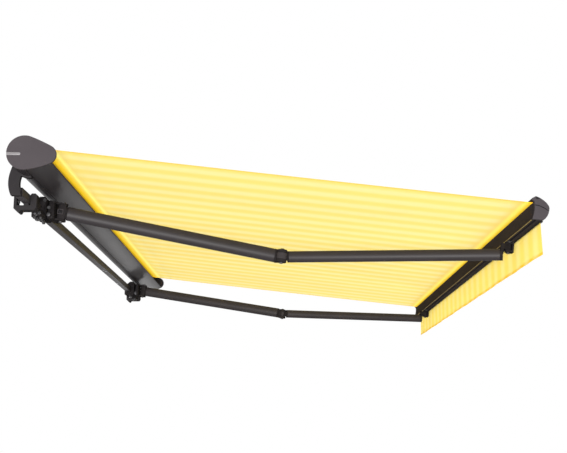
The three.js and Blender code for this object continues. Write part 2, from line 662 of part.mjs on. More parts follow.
function elbowEye() {
  const { radius, eyeHalf, pinRadius, block } = ELBOW;
  const eye = lugOutline(radius, LOWER.elbowOffset - 14, LOWER.elbowOffset + 16, 5 - LOWER.start);
  const body = alongZ(eye, -eyeHalf, eyeHalf);
  const face = between(inset(LOWER, 0), LOWER_LINE(LOWER.start - block), LOWER_LINE(LOWER.start - GAP));
  const plug = spigot(LOWER, LOWER_LINE, LOWER.start - 2, LOWER.start + SPIGOT);
  return cut(join(body, face, plug), rod(pinRadius + RUNNING, -FAR, FAR, ROUND / 2));
}

const tipAt = [0, -ARM_LINK, LOWER_RISE];

function tipLug() {
  const { radius, lugLow, lugHigh, pinRadius } = TIP;
  const tubeEnd = ARM_LINK - LOWER.end;
  const face = between(inset(LOWER, 0), LOWER_LINE(tubeEnd + GAP), LOWER_LINE(tubeEnd + 14));
  const plug = spigot(LOWER, LOWER_LINE, tubeEnd - SPIGOT, tubeEnd + 2);
  const low = LOWER.tipOffset - 14;
  const high = LOWER.tipOffset + 16;
  const riser = box([low, high], [LOWER.end - 16, LOWER.end - 2], [0, lugHigh]).translate(...tipAt);
  const lug = alongZ(lugOutline(radius, low, high, LOWER.end - 14), lugLow, lugHigh).translate(...tipAt);
  const bore = rod(pinRadius + RUNNING, -FAR, FAR, ROUND / 2).translate(...tipAt);
  return cut(join(face, plug, riser, lug), bore);
}

function addArm(side) {
  const mirrored = new THREE.Group();
  mirrored.scale.x = side === "left" ? 1 : -1;
  foldPlane.add(mirrored);
  const shoulder = new THREE.Group();
  shoulder.position.x = SHOULDER_X;
  mirrored.add(shoulder);
  const fixed = meshes(shoulder, `_${side}`);
  fixed("shoulder_fork", wholeFork(), CAST);
  fixed("shoulder_pin", shoulderPin(), STEEL);

  const upper = new THREE.Group();
  upper.rotation.z = ARM_BEND;
  shoulder.add(upper);
  const addUpper = meshes(upper, `_${side}`);
  addUpper("upper_arm_tube", armTube(UPPER, UPPER_LINE), ANTHRACITE);
  addUpper("shoulder_eye", shoulderEye(), CAST);
  addUpper("elbow_fork", elbowFork(), CAST);
  addUpper("elbow_pin", elbowPin(), STEEL);
  addUpper("arm_spring", armSpring(), STEEL);

  const lower = new THREE.Group();
  lower.position.set(ARM_LINK * Math.sin(ARM_BEND), -ARM_LINK * Math.cos(ARM_BEND), -ELBOW_DROP);
  lower.rotation.z = -ARM_BEND;
  shoulder.add(lower);
  const addLower = meshes(lower, `_${side}`);
  addLower("lower_arm_tube", armTube(LOWER, LOWER_LINE), ANTHRACITE);
  addLower("elbow_eye", elbowEye(), CAST);
  addLower("tip_lug", tipLug(), CAST);
}

// Front bar: a hollow bar with a hood over the cloth's slot, and slots below for the brackets and valance.

const TIP_Y = -2 * ARM_LINK * Math.cos(ARM_BEND);
const BAR_BACK = TIP_Y + BAR.behind;
const BAR_FRONT = TIP_Y - BAR.ahead;
const BAR_TOP = CLOTH_HEIGHT + BAR.above;
const BAR_BOTTOM = CLOTH_HEIGHT - BAR.below;
const VALANCE_Y = TIP_Y - VALANCE.ahead;
const CLOTH_SLOT = { half: 4.5, depth: 16 };
const BRACKET_GROOVE = { half: 5, depth: 8 };
const HOOD = { lip: BAR_BACK + 11, thickness: 4 };

// The bar's outer face from the hood's lip over the top, round the front and down to the bottom.
function barFace() {
  const shape = new THREE.Shape();
  shape.moveTo(HOOD.lip, CLOTH_HEIGHT + CLOTH_SLOT.half);
  shape.lineTo(HOOD.lip, CLOTH_HEIGHT + CLOTH_SLOT.half + HOOD.thickness);
  shape.lineTo(BAR_BACK - 5, BAR_TOP);
  const middle = (BAR_TOP + BAR_BOTTOM) / 2 + 2;
  shape.bezierCurveTo(BAR_BACK - 34, BAR_TOP - 6, BAR_FRONT, BAR_TOP - 32, BAR_FRONT, middle);
  shape.bezierCurveTo(
    BAR_FRONT, BAR_BOTTOM + 26, BAR_FRONT + 12, BAR_BOTTOM + 10, BAR_FRONT + 23, BAR_BOTTOM,
  );
  return shape;
}

// The hollowed back that closes over the cassette's tip.
function barBack(shape) {
  shape.lineTo(BAR_BACK + 4, BAR_BOTTOM);
  shape.quadraticCurveTo(BAR_BACK - 9, BAR_BOTTOM + 48, BAR_BACK, CLOTH_HEIGHT - CLOTH_SLOT.half);
}

function frontBarProfile() {
  const slotEnd = BAR_BACK - CLOTH_SLOT.depth;
  const slotHalf = VALANCE.thickness / 2 + GAP;
  const shape = barFace();
  shape.lineTo(VALANCE_Y - slotHalf, BAR_BOTTOM);
  shape.lineTo(VALANCE_Y - slotHalf, BAR_BOTTOM + VALANCE.slot);
  shape.lineTo(VALANCE_Y + slotHalf + 1, BAR_BOTTOM + VALANCE.slot);
  shape.lineTo(VALANCE_Y + slotHalf, BAR_BOTTOM);
  shape.lineTo(TIP_Y - BRACKET_GROOVE.half, BAR_BOTTOM);
  shape.lineTo(TIP_Y - BRACKET_GROOVE.half, BAR_BOTTOM + BRACKET_GROOVE.depth);
  shape.lineTo(TIP_Y + BRACKET_GROOVE.half, BAR_BOTTOM + BRACKET_GROOVE.depth);
  shape.lineTo(TIP_Y + BRACKET_GROOVE.half, BAR_BOTTOM);
  barBack(shape);
  shape.lineTo(slotEnd, CLOTH_HEIGHT - CLOTH_SLOT.half);
  shape.lineTo(slotEnd, CLOTH_HEIGHT + CLOTH_SLOT.half);
  shape.closePath();
  const hollow = outline([
    [-7, 17], [-11, 45], [-8, 77], [-22, 77], [-22, 98],
    [-43, 87], [-59, 70], [-65, 51], [-62, 33], [-51, 15],
  ].map(([behind, above]) => [BAR_BACK + behind, BAR_BOTTOM + above]));
  const end = FRONT_BAR_LENGTH / 2 - BAR.cap - GAP;
  return alongX(ring(shape, hollow), -end, end);
}

function frontEndCap() {
  const shape = barFace();
  barBack(shape);
  shape.closePath();
  const end = -FRONT_BAR_LENGTH / 2;
  return alongX(shape, end, end + BAR.cap, 1.5);
}

const TIP_PLATE_TOP = BAR_BOTTOM - TIP_RISE - GAP;

// Tip bracket: two rounded plates and a web that hang the bar on the arm's tip.
function tipBracket() {
  const plateHigh = TIP_PLATE_TOP;
  const { plateLow, lugLow, lugHigh, pinRadius, bracketFront, bracketHalf } = TIP;
  const plate = lugOutline(TIP.bracketRadius, -bracketHalf, bracketHalf, -bracketFront);
  const upper = alongZ(plate, lugHigh + RUNNING, plateHigh);
  const lower = alongZ(plate, plateLow, lugLow - RUNNING);
  const web = box([-bracketHalf, bracketHalf], [-bracketFront, -TIP.radius - 2.5], [plateLow, plateHigh]);
  return cut(join(upper, lower, web), rod(pinRadius + GAP, -FAR, plateHigh - 2, ROUND / 2));
}

function tipPin() {
  const { plateLow, pinRadius } = TIP;
  const head = rod(pinRadius + 4, plateLow - 6, plateLow - GAP, 6);
  return join(rod(pinRadius, plateLow - 4, TIP_PLATE_TOP - 3, ROUND / 2), head);
}

function addFrontBar() {
  const add = meshes(foldPlane);
  add("front_bar_profile", frontBarProfile(), ANTHRACITE);
  for (const side of ["left", "right"]) {
    const sign = side === "left" ? 1 : -1;
    const mirrored = new THREE.Group();
    mirrored.scale.x = sign;
    foldPlane.add(mirrored);
    meshes(mirrored)(`front_end_cap_${side}`, frontEndCap(), ANTHRACITE);
    const tip = new THREE.Group();
    tip.position.set(SHOULDER_X, TIP_Y, TIP_RISE);
    mirrored.add(tip);
    const hang = meshes(tip, `_${side}`);
    hang("tip_bracket", tipBracket(), CAST);
    hang("tip_pin", tipPin(), STEEL);
  }
}

// The cloth runs from the top of the roll to the front bar. The valance hangs plumb from the bar.

function awningCloth() {
  const half = CLOTH.thickness / 2;
  return box(
    [-CLOTH_WIDTH / 2, CLOTH_WIDTH / 2],
    [BAR_BACK - CLOTH.tucked, ROLLER.y],
    [CLOTH_HEIGHT - half, CLOTH_HEIGHT + half],
  );
}

function addValance() {
  const hang = new THREE.Group();
  hang.position.set(0, VALANCE_Y, BAR_BOTTOM);
  hang.rotation.x = -PITCH;
  foldPlane.add(hang);
  const { thickness, drop, slot } = VALANCE;
  meshes(hang)("valance", box(
    [-CLOTH_WIDTH / 2, CLOTH_WIDTH / 2], [-thickness / 2, thickness / 2], [-drop, slot - 2],
  ), YELLOW);
}

function addCassette(awning) {
  const add = meshes(awning);
  add("cassette_back_profile", cassetteBackProfile(), ANTHRACITE);
  add("cassette_lower_profile", cassetteLowerProfile(), ANTHRACITE);
}

function addFrame(awning) {
  meshes(awning)("support_tube", supportTube(), ANTHRACITE);
  for (const side of ["left", "right"]) {
    const mirrored = new THREE.Group();
    mirrored.scale.x = side === "left" ? 1 : -1;
    awning.add(mirrored);
    const add = meshes(mirrored, `_${side}`);
    add("wall_bracket", wallBracket(), ANTHRACITE);
    add("wall_bolt", wallBolt(), STEEL);
    add("cassette_carrier", cassetteCarrier(), ANTHRACITE);
    add("cassette_end_cap", cassetteEndCap(), ANTHRACITE);
    add("end_cap_inlay", endCapInlay(), TRIM);
    add("shoulder_clamp", shoulderClamp(), CAST);
    add("shoulder_clamp_plate", shoulderClampPlate(), CAST);
    add("shoulder_clamp_bolt", shoulderClampBolt(), STEEL);
    add("tilt_bolt", tiltBolt(), STEEL);
    add("pitch_screw", pitchScrew(), STEEL);
  }
}

const awning = new THREE.Group();
awning.add(foldPlane);
addFrame(awning);
addCassette(awning);
addRoller();
addArm("left");
addArm("right");
addFrontBar();
meshes(foldPlane)("awning_cloth", awningCloth(), YELLOW);
addValance();

export default awning;
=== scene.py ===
"""Cassette awning with two folding arms, shown extended: meshes, finishes and studio."""

import logging
import math
from dataclasses import dataclass, field
from enum import Enum
from functools import cached_property
from typing import Any, Callable, Sequence, Union

import bmesh
import bpy
import numpy as np
from mathutils import Matrix, Vector


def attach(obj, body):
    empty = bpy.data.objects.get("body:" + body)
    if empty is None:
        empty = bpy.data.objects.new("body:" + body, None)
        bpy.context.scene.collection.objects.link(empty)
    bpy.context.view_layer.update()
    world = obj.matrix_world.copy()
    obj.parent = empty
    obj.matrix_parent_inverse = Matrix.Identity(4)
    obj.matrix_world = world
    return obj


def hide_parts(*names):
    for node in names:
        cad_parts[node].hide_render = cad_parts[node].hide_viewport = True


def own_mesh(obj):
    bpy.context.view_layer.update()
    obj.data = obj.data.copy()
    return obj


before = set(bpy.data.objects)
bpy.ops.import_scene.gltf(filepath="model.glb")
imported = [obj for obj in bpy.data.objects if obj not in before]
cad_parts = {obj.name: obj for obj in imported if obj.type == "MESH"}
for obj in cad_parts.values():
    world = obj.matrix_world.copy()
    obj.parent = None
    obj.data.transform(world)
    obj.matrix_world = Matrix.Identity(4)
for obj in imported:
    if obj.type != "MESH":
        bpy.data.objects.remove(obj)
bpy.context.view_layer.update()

LOG = logging.getLogger("awning")

MM = 0.001
Point = tuple[float, float]
Outline = list[Point]
Colour = tuple[float, float, float]
Triple = tuple[float, float, float]
Arc = tuple[Point, float, float, float]
Place = tuple[float, bool]

WORN_EDGE = (0.53, 0.62)
# How near points are merged: in drawn forms, in millimetres, and in CAD meshes, in metres.
FORM_WELD = 0.002
CAD_WELD = 0.00002
FLAT_TURN = math.radians(1.0)
ROUNDED_TURN = math.radians(34.0)
PITCH = math.radians(6.5)
ARM_LINK = 1144.0
ARM_BEND = math.radians(7.0)
ELBOW_DROP = 72.0
TIP_RISE = 38.0
SHOULDER_X = -1440.0
WALL_X = -1687.0
CLOTH_HEIGHT = 192.4
CLOTH_HALF = 1940.0
TIP_Y = -2 * ARM_LINK * math.cos(ARM_BEND)
BAR_BOTTOM = CLOTH_HEIGHT - 87.4
VALANCE_Y = TIP_Y - 30.0

# Places drawn in the fold plane, in millimetres, are put in the part's frame by this matrix.
PLANE = Matrix.Translation((0.0, -169.0, -6.0)) @ Matrix.Rotation(PITCH, 4, "X")
MIRROR = Matrix.Scale(-1.0, 4, (1.0, 0.0, 0.0))


class Side(Enum):
    """An end of the awning. Pieces are drawn for the left one."""

    LEFT = "left"
    RIGHT = "right"

    def named(self, name: str) -> str:
        """A name with this side's ending."""
        return f"{name}_{self.value}"


class Slot(Enum):
    """The record's material slots."""

    ANTHRACITE = "anthracite"
    CASTING = "casting"
    STEEL = "steel"
    GALVANISED = "galvanised"
    TRIM = "trim"
    PLASTIC = "black_plastic"
    CLOTH = "yellow_cloth"


class Held(Enum):
    """How a sheet of cloth is held."""

    STRETCHED = "stretched"
    HUNG = "hung"
    FOLDED = "folded"


class Wire:
    """A node's output, whose arithmetic adds Math nodes."""

    def __init__(self, graph: "Graph", socket: bpy.types.NodeSocket | None) -> None:
        """Keeps the graph and the output socket."""
        self.graph = graph
        self.socket = socket

    def math(self, operation: str, first: "Operand", second: "Operand" = 0.0) -> "Wire":
        """A Math node on two operands."""
        return self.graph.node("ShaderNodeMath", {"operation": operation}, {0: first, 1: second})

    def __add__(self, other: "Operand") -> "Wire":
        """self + other."""
        return self.math("ADD", self, other)

    def __radd__(self, other: "Operand") -> "Wire":
        """other + self."""
        return self.math("ADD", other, self)

    def __sub__(self, other: "Operand") -> "Wire":
        """self - other."""
        return self.math("SUBTRACT", self, other)

    def __rsub__(self, other: "Operand") -> "Wire":
        """other - self."""
        return self.math("SUBTRACT", other, self)

    def __mul__(self, other: "Operand") -> "Wire":
        """self * other."""
        return self.math("MULTIPLY", self, other)

    def __rmul__(self, other: "Operand") -> "Wire":
        """other * self."""
        return self.math("MULTIPLY", other, self)

    def sine(self) -> "Wire":
        """The sine of an angle in radians."""
        return self.math("SINE", self)

    def size(self) -> "Wire":
        """The value without its sign."""
        return self.math("ABSOLUTE", self)

    def largest(self, other: "Operand") -> "Wire":
        """The larger of two values."""
        return self.math("MAXIMUM", self, other)

    def rise(self, low: float, high: float) -> "Wire":
        """A smooth step from 0 at low to 1 at high."""
        sockets = {"Value": self, "From Min": low, "From Max": high}
        return self.graph.node("ShaderNodeMapRange", {"interpolation_type": "SMOOTHSTEP"}, sockets)


Operand = Union[Wire, float]


class Graph:
    """The node tree of a material or of the world."""

    def __init__(self, owner: Union[bpy.types.Material, bpy.types.World]) -> None:
        """Empties the owner's node tree.

        Args:
            owner: the material or the world.
        """
        owner.use_nodes = True
        self.owner = owner
        self.tree = owner.node_tree
        self.tree.nodes.clear()

    @cached_property
    def place(self) -> Wire:
        """The object's own coordinates, in metres."""
        return self.node("ShaderNodeTexCoord", output="Object")

    def node(
        self,
        kind: str,
        settings: dict[str, Any] | None = None,
        inputs: dict[int | str, Any] | None = None,
        output: int | str = 0,
    ) -> Wire:
        """Adds a node.

        Args:
            kind: the node's type.
            settings: its properties, set before its sockets.
            inputs: a value or a wire for each socket.
            output: the socket that the wire leaves from.

        Returns:
            The chosen output.
        """
        made = self.tree.nodes.new(kind)
        for key, value in (settings or {}).items():
            setattr(made, key, value)
        for key, value in (inputs or {}).items():
            if isinstance(value, Wire):
                self.tree.links.new(value.socket, made.inputs[key])
            else:
                made.inputs[key].default_value = value
        return Wire(self, made.outputs[output] if made.outputs else None)

    def mix(self, share: Operand, first: Any, second: Any) -> Wire:
        """A colour between two colours.

        Args:
            share: 0 for the first, 1 for the second.
            first: a colour or a wire.
            second: a colour or a wire.

        Returns:
            The mixed colour.
        """
        ends = [end if isinstance(end, Wire) else (*end, 1.0) for end in (first, second)]
        sockets = {0: share, 6: ends[0], 7: ends[1]}
        return self.node("ShaderNodeMix", {"data_type": "RGBA"}, sockets, 2)

    def vector(self, operation: str, other: Triple, output: str = "Vector") -> Wire:
        """A Vector Math node on the object's coordinates and another vector."""
        pair = {0: self.place, 1: other}
        return self.node("ShaderNodeVectorMath", {"operation": operation}, pair, output)

    def stretched(self, scale: Triple) -> Wire:
        """The object's coordinates, scaled along each axis."""
        return self.vector("MULTIPLY", scale)

    def noise(self, scale: Triple, detail: float = 3.0) -> Wire:
        """A noise of about 0 to 1, scaled by its features in each metre along each axis."""
        sockets = {"Vector": self.stretched(scale), "Scale": 1.0, "Detail": detail}
        return self.node("ShaderNodeTexNoise", None, sockets)

    def along(self, axis: Triple, start: Triple) -> Wire:
        """The distance from a point along an axis, in metres."""
        return self.vector("DOT_PRODUCT", axis, "Value") - Vector(axis).dot(Vector(start))

    def edges(self) -> Wire:
        """1 along outer edges and 0 elsewhere."""
        return self.node("ShaderNodeNewGeometry", output="Pointiness").rise(*WORN_EDGE)

    def bump(self, height: Wire, depth: float, strength: float = 1.0) -> Wire:
        """A bumped normal, whose depth is what a height of 1 stands for, in metres."""
        sockets = {"Height": height, "Distance": depth, "Strength": strength}
        return self.node("ShaderNodeBump", None, sockets)

    def principled(self, **sockets: Any) -> Wire:
        """A Principled shader, its sockets named with _ for a space."""
        inputs = {key.replace("_", " "): value for key, value in sockets.items()}
        return self.node("ShaderNodeBsdfPrincipled", None, inputs)

    def finish(self, shader: Wire) -> Union[bpy.types.Material, bpy.types.World]:
        """Joins the shader to the output and gives back the owner.

        Args:
            shader: the finished shader.

        Returns:
            The material or the world.
        """
        kind = "Material" if isinstance(self.owner, bpy.types.Material) else "World"
        self.node(f"ShaderNodeOutput{kind}", None, {"Surface": shader})
        return self.owner


@dataclass(frozen=True)
class Finish:
    """A surface finish, and the material slot that it stands for."""

    name: str
    slot: Slot
    colour: Colour
    roughness: float

    def shade(self, share: float) -> Colour:
        """The finish's colour, made lighter or darker by a share."""
        return tuple(min(1.0, part * share) for part in self.colour)

    def surface(self, graph: Graph) -> Wire:
        """The shader of this finish."""
        raise NotImplementedError

    def material(self) -> bpy.types.Material:
        """The finish's material, made once.

        Returns:
            The material.
        """
        known = bpy.data.materials.get(self.name)
        if known:
            return known
        graph = Graph(bpy.data.materials.new(self.name))
        return graph.finish(self.surface(graph))


@dataclass(frozen=True)
class Skin(Finish):
    """A finish with patches that shade it and a fine grain that roughens it.

    The tones and the wear's second number are shares of the colour. The dulling is added to the
    roughness: evenly, by the patches and by the grain.
    """

    patch: Triple = (3.0, 5.0, 5.0)
    contrast: Point = (0.3, 0.7)
    tones: Point = (0.94, 1.06)
    wear: Point = (0.0, 1.0)
    grain: Triple = (420.0, 420.0, 420.0)
    detail: float = 2.0
    dulling: Triple = (-0.05, 0.0, 0.1)
    lumps: float = 0.0
    depth: float = 0.00006
    metal: float = 0.0
    shine: float = 0.0

    def surface(self, graph: Graph) -> Wire:
        """The shader of this finish.

        Args:
            graph: the node tree to add to.

        Returns:
            The shader.
        """
        patch, grain = graph.noise(self.patch), graph.noise(self.grain, self.detail)
        tone = graph.mix(patch.rise(*self.contrast), *(self.shade(share) for share in self.tones))
        rubbed, bright = self.wear
        if rubbed:
            tone = graph.mix(graph.edges() * rubbed, tone, self.shade(bright))
        even, by_patch, by_grain = self.dulling
        gloss = self.roughness + even + patch * by_patch + grain * by_grain
        normal = graph.bump(grain * (1.0 - self.lumps) + patch * self.lumps, self.depth)
        return graph.principled(Base_Color=tone, Metallic=self.metal, Roughness=gloss,
                                Normal=normal, Specular_IOR_Level=self.shine)


@dataclass(frozen=True)
class PowderCoat(Skin):
    """Satin powder coat: a fine orange peel, faint clouds and rubbed edges."""

    wear: Point = (0.35, 1.7)
    dulling: Triple = (-0.05, 0.06, 0.05)


@dataclass(frozen=True)
class SandCast(Skin):
    """A painted casting: a grainy skin, dull in the hollows and rubbed on the edges."""

    patch: Triple = (45.0, 45.0, 45.0)
    tones: Point = (0.85, 1.15)
    wear: Point = (0.5, 2.6)
    grain: Triple = (260.0, 260.0, 260.0)
    detail: float = 4.0
    dulling: Triple = (-0.06, 0.0, 0.12)
    lumps: float = 0.3
    depth: float = 0.00025


@dataclass(frozen=True)
class PlatedSteel(Skin):
    """Dark zinc plate, with faint blotches and fine turning marks."""

    patch: Triple = (90.0, 90.0, 90.0)
    contrast: Point = (0.35, 0.65)
    tones: Point = (0.8, 1.2)
    grain: Triple = (250.0, 250.0, 1800.0)
    dulling: Triple = (-0.08, 0.16, 0.0)
    depth: float = 0.00004
    metal: float = 0.85
    shine: float = 0.5


@dataclass(frozen=True)
class Moulded(Skin):
    """Moulded plastic or rubber with a fine eroded texture."""

    patch: Triple = (25.0, 25.0, 25.0)
    tones: Point = (0.88, 1.12)
    grain: Triple = (600.0, 600.0, 600.0)
    depth: float = 0.00008
    shine: float = 0.06


@dataclass(frozen=True)
class Spangled(Finish):
    """Galvanised sheet with its zinc flowers."""

    flowers: Triple = (110.0, 110.0, 110.0)
    metal: float = 0.9

    def surface(self, graph: Graph) -> Wire:
        """The shader of this finish.

        Args:
            graph: the node tree to add to.

        Returns:
            The shader.
        """
        sockets = {"Vector": graph.stretched(self.flowers), "Scale": 1.0}
        flower = graph.node("ShaderNodeTexVoronoi", None, sockets, "Color")
        grey = graph.node("ShaderNodeRGBToBW", None, {"Color": flower})
        tone = graph.mix(grey, self.shade(0.8), self.shade(1.2))
        gloss = self.roughness - 0.1 + grey * 0.2
        return graph.principled(Base_Color=tone, Metallic=self.metal, Roughness=gloss)


@dataclass(frozen=True)
class BrushedTrim(Finish):
    """Satin aluminium, brushed along the strip."""

    brushing: Triple = (2200.0, 12.0, 2200.0)
    depth: float = 0.00003
    metal: float = 0.2

    def surface(self, graph: Graph) -> Wire:
        """The shader of this finish.

        Args:
            graph: the node tree to add to.

        Returns:
            The shader.
        """
        lines = graph.noise(self.brushing, 2.0)
        tone = graph.mix(lines, self.shade(0.93), self.shade(1.07))
        gloss = self.roughness - 0.06 + lines * 0.12
        return graph.principled(Base_Color=tone, Metallic=self.metal, Roughness=gloss,
                                Normal=graph.bump(lines, self.depth))


@dataclass(frozen=True)
class StripedCloth(Finish):
    """Woven acrylic with soft stripes, lit through from its other face.

    The colour deepens towards the two ends of the cloth and in its hems: painted shade where the
    hood and the bar shade the cloth and where the hem doubles it.
    """

    stripe: Colour = (0.95, 0.715, 0.13)
    # deep: the colour of the painted shade at the ends and of the painted glow at the lip; lit: the
    # painted glow's pale tone.
    deep: Colour = (0.96, 0.62, 0.02)
    lit: Colour = (0.96, 0.84, 0.19)
    pitch: float = 0.1679
    first: float = -1.748
    axis: Triple = (0.0, -math.cos(PITCH), -math.sin(PITCH))
    start: Triple = (0.0, 0.0, 0.0)
    # Painted shade: the deep colour fades out over near from the cassette and in over far towards
    # the bar, by these shares.
    near: Point = (0.0, 0.1)
    far: Point = (2.2, 2.3)
    near_shade_share: float = 0.9
    far_shade_share: float = 0.9
    through: float = 0.42
    # Strength of a painted glow: emission that lights the cloth where it lies in shade.
    glow: float = 0.0
    hem_shade_share: float = 0.25
    hem_edge: Point = (0.018, 0.012)
    thread: Triple = (140.0, 9.0, 9.0)
    slub: Triple = (9.0, 140.0, 140.0)
    weave: float = 0.0016
    depth: float = 0.0002
    # Where the painted glow rises and fades in the cassette's mouth, its tail and its paler tone,
    # and where it lies beside the bar.
    mouth_rise: Point = (-0.035, 0.0)
    mouth_fall: Point = (0.018, 0.06)
    mouth_tail: Point = (0.05, 0.15)
    tail_share: float = 0.22
    mouth_pale: Point = (-0.005, 0.04)
    bar_rise: Point = (-0.025, 0.015)
    bar_glow_share: float = 0.75

    def surface(self, graph: Graph) -> Wire:
        """The shader of this finish.

        Args:
            graph: the node tree to add to.

        Returns:
            The shader.
        """
        across = graph.along((1.0, 0.0, 0.0), (self.first, 0.0, 0.0))
        down = graph.along(self.axis, self.start)
        thread, slub = graph.noise(self.thread), graph.noise(self.slub)
        wave = (across * (2 * math.pi / self.pitch) + math.pi / 2).sine()
        soft = (wave + (thread - 0.5) * 0.5).rise(-1.1, 1.1)
        striped = graph.mix(soft, self.colour, self.stripe)
        edge = (across + self.first).size()
        # Painted shade: deeper colour in the hems, near the cassette and beside the bar.
        hem = edge.rise(*(CLOTH_HALF * MM - deep for deep in self.hem_edge)) * self.hem_shade_share
        near = (1.0 - down.rise(*self.near)) * self.near_shade_share
        ends = near.largest(down.rise(*self.far) * self.far_shade_share)
        base = graph.mix(ends.largest(hem), striped, self.deep)
        turn = 2 * math.pi / self.weave
        weave = (across * turn).sine() * (down * turn).sine()
        height = weave * 0.25 + thread * 0.5 + slub * 0.5
        normal = graph.bump(height, self.depth, 0.6)
        # Painted glow: emission on the shaded cloth inside the cassette's mouth and beside the bar,
        # deep gold at the lip and at the bar, paler between.
        mouth = down - self.near[0]
        tail = mouth.rise(*self.mouth_tail) * self.tail_share
        fading = mouth.rise(*self.mouth_fall) * (1.0 - self.tail_share) + tail
        inside = mouth.rise(*self.mouth_rise) - fading
        painted_glow_by_bar = (down - self.far[1]).rise(*self.bar_rise) * self.bar_glow_share
        paler = mouth.rise(*self.mouth_pale) - down.rise(*self.far)
        painted_glow_tone = graph.mix(paler, self.deep, self.lit)
        painted_glow_colour = graph.mix(inside.largest(painted_glow_by_bar), (0.0, 0.0, 0.0), painted_glow_tone)
        front = graph.principled(
            Base_Color=base, Roughness=0.82 + slub * 0.1, Normal=normal, Specular_IOR_Level=0.1,
            Emission_Color=painted_glow_colour, Emission_Strength=self.glow,
        )
        average = [(one + other) / 2 for one, other in zip(self.colour, self.stripe)]
        behind = graph.node("ShaderNodeBsdfTranslucent", None, {"Color": (*average, 1.0)})
        return graph.node("ShaderNodeMixShader", None, {0: self.through, 1: front, 2: behind})


# COAT and the copies below it stand for one anthracite coat. Each copy's base colour is set darker
# than COAT's to paint in the shade on the parts it dresses. Their shine is a real satin gloss.
COAT = PowderCoat("anthracite_coat", Slot.ANTHRACITE, (0.052, 0.0455, 0.0487), 0.7)
SHADED_SATIN_COAT = PowderCoat("satin_coat_painted_shade", Slot.ANTHRACITE, (0.022, 0.019, 0.0204), 0.38, shine=0.05)
SHADED_TUBE_COAT = PowderCoat("tube_coat_painted_shade", Slot.ANTHRACITE, (0.028, 0.0243, 0.0264), 0.46, shine=0.085)
SHADED_BRACKET_COAT = PowderCoat("bracket_coat_painted_shade", Slot.ANTHRACITE, (0.024, 0.022, 0.023), 0.7)
SHADED_ARM_COAT = PowderCoat("arm_coat_painted_shade", Slot.ANTHRACITE, (0.019, 0.0164, 0.0177), 0.42, shine=0.115)
SHADED_BAR_COAT = PowderCoat("bar_coat_painted_shade", Slot.ANTHRACITE, (0.032, 0.028, 0.030), 0.7)
SHADED_EYE_COAT = PowderCoat("eye_coat_painted_shade", Slot.CASTING, (0.036, 0.032, 0.034), 0.6)
CAST = SandCast("casting_paint", Slot.CASTING, (0.014, 0.0125, 0.013), 0.72)
STEEL = PlatedSteel("dark_zinc", Slot.STEEL, (0.052, 0.0505, 0.0525), 0.55)
SPANGLE = Spangled("galvanised_sheet", Slot.GALVANISED, (0.40, 0.42, 0.43), 0.42)
PLASTIC = Moulded("black_moulding", Slot.PLASTIC, (0.012, 0.011, 0.012), 0.55)
# A tan moulding for the seal beads. On the bar's rear edge its tan is a painted reflection of the
# yellow cloth.
SEAL_WITH_PAINTED_REFLECTION = Moulded("tan_seal_painted_reflection", Slot.TRIM, (0.20, 0.15, 0.055), 0.6)
INLAY = BrushedTrim("inlay_trim", Slot.TRIM, (0.14, 0.13, 0.134), 0.5)
PALE_YELLOW = (0.96, 0.835, 0.41)
CLOTH_START = tuple(PLANE @ Vector((0.0, 66.0, CLOTH_HEIGHT)) * MM)
# The awning cloth, with painted shade at both ends and a painted glow in the cassette's mouth and
# beside the bar.
AWNING_CLOTH = StripedCloth(
    "awning_fabric", Slot.CLOTH, PALE_YELLOW, 0.85,
    start=CLOTH_START, near=(0.07, 0.18), far=(2.24, 2.3), glow=1.35,
)
ROLL_CLOTH = StripedCloth(
    "rolled_fabric", Slot.CLOTH, PALE_YELLOW, 0.85, near=(-9.0, -8.0), far=(8.0, 9.0), through=0.2
)
# The valance: its colours are a deeper copy of the cloth's, painted shade, and its top under the
# bar is deepened further as painted shade.
VALANCE_CLOTH = StripedCloth(
    "valance_fabric_painted_shade", Slot.CLOTH, (0.95, 0.81, 0.34), 0.85, stripe=(0.94, 0.69, 0.07),
    axis=(0.0, 0.0, -1.0), start=(0.0, 0.0, -0.156), near=(0.0, 0.03), far=(0.132, 0.136),
    near_shade_share=0.2, far_shade_share=0.0, through=0.45, hem_shade_share=0.0,
)


